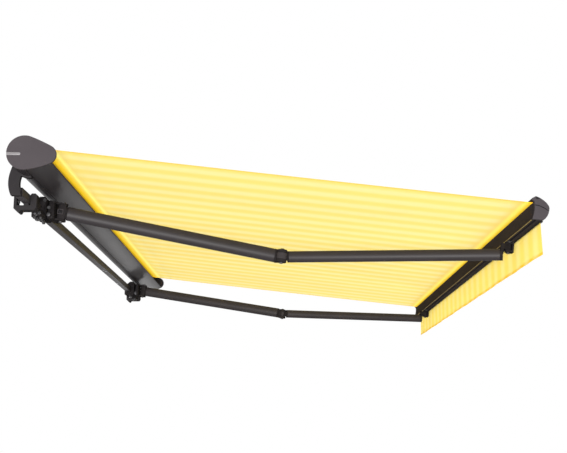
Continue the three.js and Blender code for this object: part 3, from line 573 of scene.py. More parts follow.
class Form:
    """A mesh being shaped, in millimetres."""

    def __init__(self) -> None:
        """Starts with no faces."""
        self.mesh = bmesh.new()

    def loft(self, rings: Sequence[Sequence[Triple]], capped: bool = True,
             looped: bool = True) -> "Form":
        """Skins a row of rings that have as many points each.

        Args:
            rings: the rings, in order.
            capped: whether the first and last ring are closed by a face.
            looped: whether each ring runs back to its first point.

        Returns:
            The form.
        """
        rows = [[self.mesh.verts.new(point) for point in ring] for ring in rings]
        count = len(rows[0])
        for row, after in zip(rows, rows[1:]):
            for at in range(count if looped else count - 1):
                then = (at + 1) % count
                self.mesh.faces.new((row[at], row[then], after[then], after[at]))
        if capped:
            self.mesh.faces.new(rows[0][::-1])
            self.mesh.faces.new(rows[-1])
        return self

    def prism(self, outline: Outline, start: float, end: float, rim: float = 1.0,
              steps: int = 3) -> "Form":
        """Draws a (y, z) outline along X, with rounded rims.

        Args:
            outline: the section's points.
            start: X of the first end.
            end: X of the last end.
            rim: the radius of the rims.
            steps: the facets of a rim.

        Returns:
            The form.
        """
        turns = [math.pi / 2 * at / steps for at in range(steps + 1)]
        edge = [(rim * (1 - math.sin(turn)), rim * (1 - math.cos(turn))) for turn in turns]
        stations = [(start + deep, drawn) for drawn, deep in edge]
        stations += [(end - deep, drawn) for drawn, deep in reversed(edge)]
        rings = []
        for x, drawn in stations:
            rings.append([(x, y, z) for y, z in drawn_in(outline, drawn)])
        return self.loft(rings)

    def lathe(self, profile: Outline, sides: int = 48,
              reach: Callable[[float], float] | None = None) -> "Form":
        """Turns a profile of (radius, height) about Z.

        Args:
            profile: the points from the bottom to the top.
            sides: the facets of a full turn.
            reach: a share of the radius for each angle, as for a hexagon.

        Returns:
            The form.
        """
        rings = []
        for radius, height in profile:
            ring = []
            for angle in full_turn(sides):
                share = reach(angle) if reach else 1.0
                ring.append((radius * share * math.cos(angle), radius * share * math.sin(angle),
                             height))
            rings.append(ring)
        return self.loft(rings)

    def tube(self, width: float, height: float, start: Triple, end: Triple, wall: float,
             sides: int = 72) -> "Form":
        """A hollow oval tube between two points, upright in the fold plane.

        Args:
            width: the oval's width.
            height: the oval's height.
            start: the middle of the first end.
            end: the middle of the last end.
            wall: the thickness of the tube.
            sides: the facets round it.

        Returns:
            The form.
        """
        first, last = Vector(start), Vector(end)
        along = (last - first).normalized()
        across = Vector((0.0, 0.0, 1.0)).cross(along).normalized()
        upright = along.cross(across)
        length = (last - first).length
        rim = 0.8
        rows = [
            (0.0, wall), (0.0, rim), (rim, 0.0), (length - rim, 0.0), (length, rim), (length, wall),
            (length - 1.0, wall), (1.0, wall),
        ]
        rings = []
        for far, drawn in rows + rows[:1]:
            ring = []
            for angle in full_turn(sides):
                side = across * ((width / 2 - drawn) * math.cos(angle))
                rise = upright * ((height / 2 - drawn) * math.sin(angle))
                ring.append(tuple(first + along * far + side + rise))
            rings.append(ring)
        return self.loft(rings, capped=False)

    def moved(self, matrix: Matrix) -> "Form":
        """The form after a matrix."""
        bmesh.ops.transform(self.mesh, matrix=matrix, verts=self.mesh.verts)
        return self

    def joined(self, other: "Form") -> "Form":
        """The form with another's faces added.

        Args:
            other: the form to add.

        Returns:
            This form.
        """
        spare = bpy.data.meshes.new("spare")
        other.mesh.to_mesh(spare)
        other.mesh.free()
        self.mesh.from_mesh(spare)
        bpy.data.meshes.remove(spare)
        return self

    def cleaned(self) -> "Form":
        """The form with doubled points merged and faces turned out.

        Returns:
            This form.
        """
        bmesh.ops.remove_doubles(self.mesh, verts=self.mesh.verts, dist=FORM_WELD)
        bmesh.ops.recalc_face_normals(self.mesh, faces=self.mesh.faces)
        return self

    def solid(self, name: str, sharp: float = 32.0) -> bpy.types.Object:
        """The object of a closed form, cleaned first."""
        return self.cleaned().made(name, sharp)

    def made(self, name: str, sharp: float = 32.0) -> bpy.types.Object:
        """Ends the shaping.

        Args:
            name: the piece's name.
            sharp: edges above this angle, in degrees, stay sharp.

        Returns:
            The object, in metres.
        """
        bmesh.ops.transform(self.mesh, matrix=Matrix.Scale(MM, 4), verts=self.mesh.verts)
        data = bpy.data.meshes.new(name)
        self.mesh.to_mesh(data)
        self.mesh.free()
        data.shade_smooth()
        data.set_sharp_from_angle(angle=math.radians(sharp))
        made = bpy.data.objects.new(name, data)
        bpy.context.scene.collection.objects.link(made)
        return made


def drawn_in(outline: Outline, inset: float) -> Outline:
    """An outline moved inwards.

    Args:
        outline: a closed row of points, in either direction.
        inset: how far it moves.

    Returns:
        As many points, each on the bisector of its two edges.
    """
    if inset == 0.0:
        return list(outline)
    points = np.array(outline, float)
    before, after = np.roll(points, 1, axis=0), np.roll(points, -1, axis=0)
    area = float(np.sum(points[:, 0] * after[:, 1] - after[:, 0] * points[:, 1]))
    sign = 1.0 if area > 0 else -1.0
    first = points - before
    second = after - points
    first /= np.linalg.norm(first, axis=1, keepdims=True)
    second /= np.linalg.norm(second, axis=1, keepdims=True)
    normal = np.stack([-(first + second)[:, 1], (first + second)[:, 0]], axis=1) * sign
    length = np.linalg.norm(normal, axis=1, keepdims=True)
    normal = normal / np.maximum(length, 1e-6)
    flat = np.stack([-first[:, 1], first[:, 0]], axis=1) * sign
    lean = np.maximum(np.sum(flat * normal, axis=1, keepdims=True), 0.4)
    return [tuple(point) for point in points + normal / lean * inset]


def arc(centre: Point, radius: float, start: float, turn: float, step: float = 2.0) -> Outline:
    """Points on an arc.

    Args:
        centre: its middle.
        radius: its radius.
        start: the first angle, in radians.
        turn: how far it turns, negative for clockwise.
        step: about how far apart the points are.

    Returns:
        The points, both ends among them.
    """
    count = max(4, round(abs(turn) * radius / step))
    angles = [start + turn * at / count for at in range(count + 1)]
    return [(centre[0] + radius * math.cos(a), centre[1] + radius * math.sin(a)) for a in angles]


def circle(centre: Point, radius: float, step: float = 2.0) -> Outline:
    """Points round a full circle."""
    return arc(centre, radius, 0.0, 2 * math.pi, step)[:-1]


def box(low: Point, high: Point) -> Outline:
    """The corners of a rectangle."""
    return [low, (high[0], low[1]), high, (low[0], high[1])]


def full_turn(count: int) -> list[float]:
    """Even angles round a full turn, in radians."""
    return [2 * math.pi * at / count for at in range(count)]


def bezier(points: Sequence[Point], count: int = 24) -> Outline:
    """Points on a Bezier curve of any degree, without the first one.

    Args:
        points: the control points.
        count: the number of stretches.

    Returns:
        The points of the curve.
    """
    row = []
    for at in range(1, count + 1):
        share, level = at / count, list(points)
        while len(level) > 1:
            level = [
                (a[0] + (b[0] - a[0]) * share, a[1] + (b[1] - a[1]) * share)
                for a, b in zip(level, level[1:])
            ]
        row.append(level[0])
    return row


def softened(outline: Outline, radius: float, least: float = 40.0, steps: int = 4) -> Outline:
    """An outline with its sharp corners rounded.

    Args:
        outline: a closed row of points.
        radius: the corner radius, made smaller on short edges.
        least: corners that turn by less than this, in degrees, stay.
        steps: the facets of a corner.

    Returns:
        The rounded outline.
    """
    kept: Outline = []
    count = len(outline)
    for at, point in enumerate(outline):
        here = Vector(point)
        back, ahead = Vector(outline[at - 1]) - here, Vector(outline[(at + 1) % count]) - here
        turn = math.pi - back.angle(ahead, math.pi)
        if math.degrees(turn) < least:
            kept.append(point)
            continue
        cut = min(radius * math.tan(turn / 2), 0.45 * back.length, 0.45 * ahead.length)
        first, last = here + back.normalized() * cut, here + ahead.normalized() * cut
        kept.append(tuple(first))
        kept += bezier([tuple(first), point, tuple(last)], steps)
    return kept


def hexagon(angle: float) -> float:
    """The share of its corner radius that a hexagon reaches at an angle."""
    return math.cos(math.pi / 6) / math.cos((angle % (math.pi / 3)) - math.pi / 6)


@dataclass
class Piece:
    """A finished object, the body that carries it and what it stands for."""

    made: bpy.types.Object
    body: str
    finish: Finish
    nodes: tuple[str, ...] = ()

    def settle(self) -> "Piece":
        """Dresses the object, puts it on its body and reports it.

        Returns:
            This piece.
        """
        self.made.data.materials.clear()
        self.made.data.materials.append(self.finish.material())
        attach(self.made, self.body)
        if self.nodes:
            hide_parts(*self.nodes)
        LOG.info("%s rides on %s in %s", self.made.name, self.body, self.finish.name)
        return self


def paint(node: str, finish: Finish) -> None:
    """Gives a CAD node that stays in view its finish.

    Args:
        node: the node's name.
        finish: its finish.
    """
    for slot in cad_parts[node].material_slots:
        slot.material = finish.material()
    LOG.info("%s keeps its CAD shape in %s", node, finish.name)


def eased(node: str, width: float) -> bpy.types.Object:
    """A copy of a CAD node with its facets merged and its edges rounded.

    Args:
        node: the node's name.
        width: how wide the rounding is, in millimetres.

    Returns:
        The object.
    """
    name = f"{node}_eased"
    mesh = bmesh.new()
    mesh.from_mesh(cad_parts[node].data)
    bmesh.ops.remove_doubles(mesh, verts=mesh.verts, dist=CAD_WELD)
    bmesh.ops.dissolve_limit(mesh, angle_limit=FLAT_TURN, verts=mesh.verts, edges=mesh.edges)
    bmesh.ops.recalc_face_normals(mesh, faces=mesh.faces)
    data = bpy.data.meshes.new(name)
    mesh.to_mesh(data)
    mesh.free()
    made = bpy.data.objects.new(name, data)
    bpy.context.scene.collection.objects.link(made)
    rounding = made.modifiers.new("rounding", "BEVEL")
    rounding.width = width * MM
    rounding.segments = 2
    rounding.limit_method = "ANGLE"
    rounding.angle_limit = ROUNDED_TURN
    return applied(made)


def applied(made: bpy.types.Object, sharp: float = 40.0) -> bpy.types.Object:
    """Turns an object's modifiers into its mesh.

    Args:
        made: the object.
        sharp: edges above this angle, in degrees, stay sharp.

    Returns:
        The object.
    """
    shaped = made.evaluated_get(bpy.context.evaluated_depsgraph_get())
    data = bpy.data.meshes.new_from_object(shaped)
    made.modifiers.clear()
    spare, made.data = made.data, data
    bpy.data.meshes.remove(spare)
    data.name = made.name
    data.shade_smooth()
    data.set_sharp_from_angle(angle=math.radians(sharp))
    return made


def carved(made: bpy.types.Object, tool: bpy.types.Object) -> bpy.types.Object:
    """Cuts a tool out of an object and removes the tool.

    Args:
        made: the object.
        tool: the shape that is cut away.

    Returns:
        The object.
    """
    cut = made.modifiers.new("cut", "BOOLEAN")
    cut.operation = "DIFFERENCE"
    cut.solver = "EXACT"
    cut.object = tool
    applied(made)
    bpy.data.objects.remove(tool)
    return made


def rounded(side: Side, widths: dict[str, float], body: str, finish: Finish) -> list[Piece]:
    """Eased copies of one side's CAD nodes, each with the width of its rounding."""
    named = {side.named(node): width for node, width in widths.items()}
    return [Piece(eased(node, width), body, finish, (node,)) for node, width in named.items()]


def bolt_form(corner: float, height: float, washer: float) -> Form:
    """A hexagon head on its washer, standing on Z = 0.

    Args:
        corner: the head's radius over its corners.
        height: the head's height.
        washer: the washer's radius.

    Returns:
        The form.
    """
    low, edge, chamfer, sides = 1.6, 0.4, 1.6, 48
    form = Form().lathe([(washer - edge, 0.0), (washer, edge), (washer, low - edge),
                         (washer - edge, low)])
    crown = corner * math.cos(math.pi / 6) * 0.96
    rings = []
    for level, hexed in ((low, True), (height - chamfer, True), (height, False)):
        ring = []
        for turn in full_turn(sides):
            reach = corner * hexagon(turn) if hexed else crown
            ring.append((reach * math.cos(turn), reach * math.sin(turn), level))
        rings.append(ring)
    return form.joined(Form().loft(rings))


@dataclass
class Cassette:
    """The shell that the cloth rolls into, with its end caps."""

    rear: Point = (-115.0, 150.0)
    rear_radius: float = 81.0
    tip: Point = (-217.0, 140.5)
    tip_radius: float = 46.0
    top_radius: float = 900.0
    bottom_radius: float = 380.0
    shell_inset: float = 1.5
    wall: float = 2.5
    upper_lip: float = -224.0
    lower_lip: float = -241.0
    groove: float = -122.0
    groove_gap: float = 4.0
    lap_reach: float = 24.0
    lap_depth: float = 2.8
    seal_radius: float = 2.1
    brush_radius: float = 1.6
    split: float = 140.0
    cap_face: float = 2000.0
    cap_back: float = 1984.0
    strip_half: float = 7.0
    strip_level: float = 144.0
    strip_length: float = 66.0
    boss_radius: float = 30.0

    def long_arc(self, radius: float, upper: bool, inset: float) -> Arc:
        """The arc that touches the rear and tip circles from inside.

        Args:
            radius: the arc's radius.
            upper: whether it runs over the top.
            inset: how far the outline is drawn in.

        Returns:
            The arc's centre and radius, and its angles at the rear and the tip.
        """
        rear, tip = Vector(self.rear), Vector(self.tip)
        to_rear, to_tip = radius - self.rear_radius, radius - self.tip_radius
        apart = (tip - rear).length
        along = (to_rear**2 - to_tip**2 + apart**2) / (2 * apart)
        off = math.sqrt(to_rear**2 - along**2) * (1 if upper else -1)
        way = (tip - rear).normalized()
        centre = rear + way * along + Vector((-way.y, way.x)) * off
        angles = [math.atan2(point.y - centre.y, point.x - centre.x) for point in (rear, tip)]
        return tuple(centre), radius - inset, angles[0], angles[1]

    def outline(self, inset: float) -> Outline:
        """The closed section, clockwise from the top of the rear circle.

        Args:
            inset: how far it is drawn in.

        Returns:
            The points.
        """
        top, top_r, top_rear, top_tip = self.long_arc(self.top_radius, True, inset)
        low, low_r, low_rear, low_tip = self.long_arc(self.bottom_radius, False, inset)
        full = 2 * math.pi
        row = arc(self.rear, self.rear_radius - inset, top_rear,
                  -((top_rear - low_rear) % full))[:-1]
        row += arc(low, low_r, low_rear, -((low_rear - low_tip) % full))[:-1]
        row += arc(self.tip, self.tip_radius - inset, low_tip, -((low_tip - top_tip) % full))[:-1]
        row += arc(top, top_r, top_tip, -((top_tip - top_rear) % full))[:-1]
        return row

    def run(self, inset: float, start: Place, end: Place) -> Outline:
        """A stretch of the outline.

        Args:
            inset: how far the outline is drawn in.
            start: the Y where it starts, and whether that is on the upper side.
            end: the Y where it ends, and whether that is on the upper side.

        Returns:
            The points from the start to the end, clockwise.
        """
        row = self.outline(inset)
        count = len(row)

        def crossing(y: float, upper: bool) -> tuple[int, Point]:
            """The edge that passes Y, and the point on it.

            Args:
                y: the place.
                upper: whether it is on the upper side.

            Returns:
                The number of the edge, and the point.
            """
            for at in range(count):
                a, b = row[at], row[(at + 1) % count]
                passes = (a[0] - y) * (b[0] - y) <= 0 and a[0] != b[0]
                if passes and ((a[1] + b[1]) / 2 > self.split) == upper:
                    share = (y - a[0]) / (b[0] - a[0])
                    return at, (y, a[1] + (b[1] - a[1]) * share)
            raise ValueError("the outline doesn't reach this place")

        first, begin = crossing(*start)
        last, finish = crossing(*end)
        steps = (last - first) % count
        return [begin] + [row[(first + at) % count] for at in range(1, steps + 1)] + [finish]

    def shell(self, start: Place, end: Place, inset: float) -> Outline:
        """A stretch of the outline with the wall's thickness and rounded lips.

        Args:
            start: the Y where it starts, and whether that is on the upper side.
            end: the Y where it ends, and whether that is on the upper side.
            inset: how far the outline is drawn in.

        Returns:
            The closed section.
        """
        outer = self.run(inset, start, end)
        inner = self.run(inset + self.wall, start, end)
        return softened(outer + inner[::-1], 1.1)

    def profiles(self) -> list[Piece]:
        """The back and lower profiles, a black strip behind their groove that paints in its shade,
        and the seals.

        Returns:
            The pieces.
        """
        end, inset = self.cap_back - 0.3, self.shell_inset
        upper, lower = (self.upper_lip, True), (self.lower_lip, False)
        groove, below = (self.groove, False), (self.groove - self.groove_gap, False)
        lap = [(self.groove + reach, False) for reach in (self.lap_reach, -self.lap_reach)]
        pieces = []
        for name, section, finish, nodes in (
            ("cassette_back_shell", self.shell(upper, groove, inset), SHADED_SATIN_COAT,
             ("cassette_back_profile",)),
            ("cassette_lower_shell", self.shell(below, lower, inset), SHADED_SATIN_COAT,
             ("cassette_lower_profile",)),
            # A black strip behind the groove's gap: painted shade in the groove.
            ("groove_painted_shade", self.shell(*lap, inset + self.lap_depth), PLASTIC, ()),
        ):
            made = Form().prism(section, -end, end, 0.4, 1).solid(name)
            pieces.append(Piece(made, "frame", finish, nodes))
        lip = self.run(inset + self.wall / 2, lower, (self.lower_lip - 1.0, False))[0]
        inside = self.run(inset + self.wall + 1.0, (self.lower_lip + 6.0, False), lower)[0]
        for name, middle, radius, finish in (
            ("lower_lip_seal", lip, self.seal_radius, PLASTIC),
            ("lip_brush_strip", inside, self.brush_radius, SEAL_WITH_PAINTED_REFLECTION),
        ):
            made = Form().prism(circle(middle, radius, 0.6), -end + 8, end - 8, 0.5, 2).solid(name)
            pieces.append(Piece(made, "frame", finish))
        return pieces

    def cap(self, side: Side) -> list[Piece]:
        """An end cap with its inlay strip, groove and black lining.

        Args:
            side: the end of the awning.

        Returns:
            The pieces.
        """
        plate = Form().prism(self.outline(0.0), -self.cap_face, -self.cap_back, 3.0, 5)
        made = plate.solid(side.named("cassette_end_cap_shape"), 40.0)
        rear, half, level = self.rear[0] + self.rear_radius, self.strip_half, self.strip_level
        nose = rear - self.strip_length + half

        def bar(play: float) -> Outline:
            """The strip's outline.

            Args:
                play: how much wider it is on each side.

            Returns:
                The points.
            """
            end, wide = rear + 14.0, half + play
            round_end = arc((nose, level), wide, -math.pi / 2, -math.pi, 1.0)
            return [(end, level - wide), *round_end, (end, level + wide)]

        tool = Form().prism(bar(0.8), -self.cap_face - 2.0, -self.cap_face + 3.4, 0.0, 1)
        carved(made, tool.solid("strip_tool"))
        clip = Form().prism(self.outline(-20.0), -self.cap_face - 20.0, 0.0, 0.0, 1)
        ring = Form().prism(self.outline(1.0), -self.cap_face - 30.0, 10.0, 0.0, 1)
        outside = carved(clip.solid("strip_outside"), ring.solid("strip_inside"))
        strip = Form().prism(bar(0.0), -self.cap_face + 0.2, -self.cap_face + 3.0, 0.7, 2)
        strip_made = carved(strip.solid(side.named("inlay_strip")), outside)
        lining = Form().prism(self.outline(5.2), -self.cap_back + 0.4, -self.cap_back + 4.0, 0.8, 2)
        boss = circle(self.tip, self.boss_radius)
        lining.joined(Form().prism(boss, -self.cap_back + 3.5, -self.cap_back + 9.0, 1.5))
        lining_made = lining.solid(side.named("end_cap_lining"))
        for each in (made, strip_made, lining_made):
            turned(each, side)
        return [
            Piece(made, "frame", COAT, (side.named("cassette_end_cap"),)),
            Piece(strip_made, "frame", INLAY, (side.named("end_cap_inlay"),)),
            Piece(lining_made, "frame", PLASTIC),
        ]

    def build(self) -> list[Piece]:
        """All pieces of the cassette."""
        return self.profiles() + [piece for side in Side for piece in self.cap(side)]


def turned(made: bpy.types.Object, side: Side) -> bpy.types.Object:
    """An object drawn for the left, mirrored if it belongs on the right.

    Args:
        made: an object drawn for the left end.
        side: the end of the awning.

    Returns:
        The object.
    """
    if side is Side.RIGHT:
        made.data.transform(MIRROR)
        made.data.flip_normals()
    return made


@dataclass
class WallMount:
    """The square tube with its wall brackets, bolts and cassette carriers."""

    side: float = 40.0
    tube_y: float = -60.0
    half_length: float = 1858.0
    bolt_at: Triple = (WALL_X, -14.3, -8.0)
    rounding: dict[str, float] = field(
        default_factory=lambda: {"wall_bracket": 1.4, "cassette_carrier": 1.6}
    )

    def build(self) -> list[Piece]:
        """The tube, the brackets, the carriers and the wall bolts.

        Returns:
            The pieces.
        """
        half, y = self.side / 2, self.tube_y
        square = softened(box((y - half, -half), (y + half, half)), 3.5, steps=6)
        tube = Form().prism(square, -self.half_length, self.half_length, 0.6, 2)
        pieces = [Piece(tube.solid("support_tube_shape"), "frame", SHADED_TUBE_COAT, ("support_tube",))]
        for side in Side:
            pieces += rounded(side, self.rounding, "frame", SHADED_BRACKET_COAT) + [self.wall_bolt(side)]
        return pieces

    def wall_bolt(self, side: Side) -> Piece:
        """The bolt through the bracket's back plate, with its washer.

        Args:
            side: the end of the awning.

        Returns:
            The piece.
        """
        shank = Form().lathe([(5.0, -13.0), (5.5, -12.4), (5.5, 0.5)], 32)
        form = bolt_form(9.5, 8.0, 11.0).joined(shank)
        form.moved(Matrix.Translation(self.bolt_at) @ Matrix.Rotation(math.pi / 2, 4, "X"))
        made = turned(form.solid(side.named("wall_bolt_shape")), side)
        return Piece(made, "frame", STEEL, (side.named("wall_bolt"),))


@dataclass
class Shoulder:
    """The clamp on the tube and the fork that holds an arm."""

    side: Side
    web_x: Point = (-50.0, 84.0)
    web_y: Point = (-140.0, -126.0)
    web_z: Point = (-45.0, 41.0)
    castings: dict[str, float] = field(
        default_factory=lambda: {"shoulder_clamp": 1.6, "shoulder_clamp_plate": 1.2,
                                 "shoulder_fork": 1.3}
    )
    hardware: dict[str, float] = field(
        default_factory=lambda: {
            "shoulder_clamp_bolt": 0.6, "tilt_bolt": 0.6, "pitch_screw": 0.6, "shoulder_pin": 0.7,
        }
    )

    def build(self) -> list[Piece]:
        """The castings, the bolts and the small hardware round them.

        Returns:
            The pieces.
        """
        castings = rounded(self.side, self.castings, "frame", CAST)
        hardware = rounded(self.side, self.hardware, "frame", STEEL)
        return castings + hardware + [self.setting_screws(), self.web()]

    def setting_screws(self) -> Piece:
        """The screws in the adjuster block's end and underside, and the nuts on the clamp.

        Returns:
            The piece.
        """
        form = Form()
        outward = Matrix.Rotation(-math.pi / 2, 4, "Y")
        under = Matrix.Rotation(math.pi, 4, "X")
        # X from the shoulder, Y and Z; the head's corner radius and height; the way it faces.
        heads = [
            (-155.2, -80.0, -31.0, 8.5, 13.0, outward), (-155.2, -64.0, -38.0, 7.0, 16.0, outward),
            (-155.2, -95.0, -41.0, 7.0, 9.0, outward), (-155.2, -79.0, -48.5, 6.5, 20.0, outward),
            (-65.2, -118.0, 6.0, 7.0, 6.0, outward), (-65.2, -96.0, 44.0, 7.0, 6.0, outward),
            (-140.0, -68.0, -55.2, 7.5, 13.0, under), (-118.0, -92.0, -55.2, 7.0, 10.0, under),
            (-105.0, -70.0, -55.2, 7.5, 15.0, under), (-80.0, -88.0, -55.2, 7.0, 11.0, under),
            (0.0, -74.0, -46.2, 8.5, 11.0, under), (36.0, -70.0, -46.2, 8.5, 12.0, under),
            (52.4, -118.0, -30.0, 11.0, 8.0, Matrix.Rotation(math.pi / 2, 4, "Y")),
        ]
        for x, y, z, corner, height, turn in heads:
            head = bolt_form(corner, height, corner + 1.8)
            form.joined(head.moved(Matrix.Translation((SHOULDER_X + x, y, z)) @ turn))
        made = turned(form.solid(self.side.named("setting_screws")), self.side)
        return Piece(made, "frame", STEEL)

    def web(self) -> Piece:
        """The web behind the fork, between its two plates.

        Returns:
            The piece.
        """
        (front, back), (low, high) = self.web_y, self.web_z
        section = [(front, low + 1.0), (back, low - 1.0), (back, high + 1.0), (front, high - 1.0)]
        start, end = (SHOULDER_X + x for x in self.web_x)
        form = Form().prism(softened(section, 1.5), start, end, 1.2, 2)
        made = turned(form.solid(self.side.named("fork_web")), self.side)
        return Piece(made, "frame", CAST)


@dataclass
class FoldingArm:
    """One folding arm: two oval tubes with their eyes, elbow and tip."""

    side: Side
    upper_size: Point = (46.0, 72.0)
    lower_size: Point = (40.0, 60.0)
    wall: float = 2.5
    upper_ends: Point = (30.0, 37.0)
    lower_ends: Point = (37.0, 40.0)
    elbow_offset: float = 24.0
    tip_offset: float = -10.0
    knuckle_radius: float = 27.0
    ribs: int = 4
    drum_half: float = 15.9
    cheek: Point = (16.9, 33.2)
    pin_radius: float = 9.0
    window_half: Point = (14.5, 13.5)

    def __post_init__(self) -> None:
        """Finds the frames of the two halves, in millimetres."""
        shoulder = PLANE @ Matrix.Translation((SHOULDER_X, 0.0, 0.0))
        elbow = (ARM_LINK * math.sin(ARM_BEND), -ARM_LINK * math.cos(ARM_BEND), -ELBOW_DROP)
        self.upper = shoulder @ Matrix.Rotation(ARM_BEND, 4, "Z")
        self.lower = shoulder @ Matrix.Translation(elbow) @ Matrix.Rotation(-ARM_BEND, 4, "Z")
        self.elbow = self.upper @ Matrix.Translation((0.0, -ARM_LINK, -ELBOW_DROP))
        self.upper_body = f"{self.side.value}_upper_arm"
        self.lower_body = f"{self.side.value}_lower_arm"

    def upper_line(self, along: float) -> Triple:
        """A point on the upper tube's middle line."""
        share = along / ARM_LINK
        return (self.elbow_offset * share, -along, -ELBOW_DROP * share)

    def lower_line(self, along: float) -> Triple:
        """A point on the lower tube's middle line.

        Args:
            along: the distance from the elbow.

        Returns:
            The point in the fold plane.
        """
        share = along / ARM_LINK
        offset = self.elbow_offset + (self.tip_offset - self.elbow_offset) * share
        return (offset, -along, (ELBOW_DROP + TIP_RISE) * share)

    def piece(self, form: Form, matrix: Matrix, name: str, body: str, finish: Finish,
              *nodes: str) -> Piece:
        """Places a form drawn in one half's frame.

        Args:
            form: its form.
            matrix: its place in the fold plane.
            name: its name, without the side.
            body: the body that carries it.
            finish: its finish.
            nodes: the CAD nodes that it stands for.

        Returns:
            The piece.
        """
        form.moved(matrix)
        made = turned(form.solid(self.side.named(name)), self.side)
        return Piece(made, body, finish, tuple(self.side.named(node) for node in nodes))

    def tubes(self) -> list[Piece]:
        """The two oval tubes.

        Returns:
            The pieces.
        """
        halves = (
            ("upper", self.upper_size, self.upper_ends, self.upper_line, self.upper,
             self.upper_body),
            ("lower", self.lower_size, self.lower_ends, self.lower_line, self.lower,
             self.lower_body),
        )
        pieces = []
        for half, size, (start, end), line, place, body in halves:
            form = Form().tube(*size, line(start), line(ARM_LINK - end), self.wall)
            names = f"{half}_arm_oval", body, SHADED_ARM_COAT, f"{half}_arm_tube"
            pieces.append(self.piece(form, place, *names))
        return pieces

    def knuckle(self) -> list[Piece]:
        """The ribbed drum round the elbow's eye and the round cheeks above and below it.

        Returns:
            The pieces.
        """
        ribs, half, radius = self.ribs, self.drum_half, self.knuckle_radius
        step = 2 * half / ribs
        profile: Outline = [(18.0, -half)]
        for at in range(ribs):
            base = at * step - half
            profile += [(radius - 0.6, base + 0.3), (radius, base + step * 0.25),
                        (radius, base + step * 0.65),
                        (radius - 1.8, base + step * 0.78), (radius - 1.8, base + step * 0.97)]
        profile.append((18.0, half))
        cheeks, hole, (low, high) = Form(), self.pin_radius, self.cheek
        for turn in (0.0, math.pi):
            cheek = Form().lathe([(hole, low), (radius - 0.5, low), (radius, low + 0.7),
                                  (radius, high - 2.0), (radius - 2.0, high), (hole, high)], 64)
            cheeks.joined(cheek.moved(Matrix.Rotation(turn, 4, "X")))
        guard = softened(box((4.0, -17.2), (31.0, 17.2)), 2.0)
        cheeks.joined(Form().prism(guard, radius + 1.0, radius + 4.0, 0.6, 1))
        return [
            self.piece(Form().lathe(profile, 64), self.lower, "elbow_drum", self.lower_body,
                       SHADED_EYE_COAT),
            self.piece(cheeks, self.elbow, "elbow_cheeks", self.upper_body, CAST),
        ]

    def pin_caps(self) -> Piece:
        """Domed caps on both ends of the elbow's pin.

        Returns:
            The piece.
        """
        form = Form()
        dome = [(11.0, 0.0), (11.0, 3.4), (10.2, 5.0), (8.2, 6.2), (4.4, 7.0), (1.2, 7.2)]
        seat = Matrix.Translation((0.0, 0.0, self.cheek[1] + 0.1))
        for turn in (0.0, math.pi):
            form.joined(Form().lathe(dome, 40).moved(Matrix.Rotation(turn, 4, "X") @ seat))
        form.joined(Form().lathe([(7.0, -33.0), (7.0, 33.0)], 40))
        names = "elbow_pin_caps", self.upper_body, STEEL, "elbow_pin"
        return self.piece(form, self.elbow, *names)

    def eye_window(self) -> list[Piece]:
        """The rounded square window in the outer cheek of the shoulder's eye.

        Returns:
            The pieces.
        """
        half_y, half_z = self.window_half
        outer = softened(box((-half_y, -half_z), (half_y, half_z)), 5.0, steps=6)
        # X of each ring of the frame, and how far it is drawn in.
        rings = [(-21.0, 0.0), (-24.2, 0.0), (-25.0, 0.8), (-25.0, 3.6), (-24.4, 4.2), (-21.0, 4.2)]
        frame_form = Form().loft([[(x, y, z) for y, z in drawn_in(outer, inset)]
                                  for x, inset in rings])
        pad = Form().prism(drawn_in(outer, 5.4), -23.4, -21.0, 0.8, 2)
        place = self.upper @ Matrix.Translation((0.0, 5.0, 0.0))
        return [
            self.piece(frame_form, place, "eye_window_frame", self.upper_body, SHADED_EYE_COAT),
            self.piece(pad, place, "eye_window_pad", self.upper_body, PLASTIC),
        ]

    def build(self) -> list[Piece]:
        """All pieces of the arm.

        Returns:
            The pieces.
        """
        upper = {"shoulder_eye": 1.4, "elbow_fork": 1.2}
        lower = {"elbow_eye": 1.0, "tip_lug": 1.2}
        pieces = self.tubes() + self.knuckle() + [self.pin_caps()] + self.eye_window()
        pieces += rounded(self.side, upper, self.upper_body, CAST)
        pieces += rounded(self.side, lower, self.lower_body, CAST)
        paint(self.side.named("arm_spring"), STEEL)
        return pieces


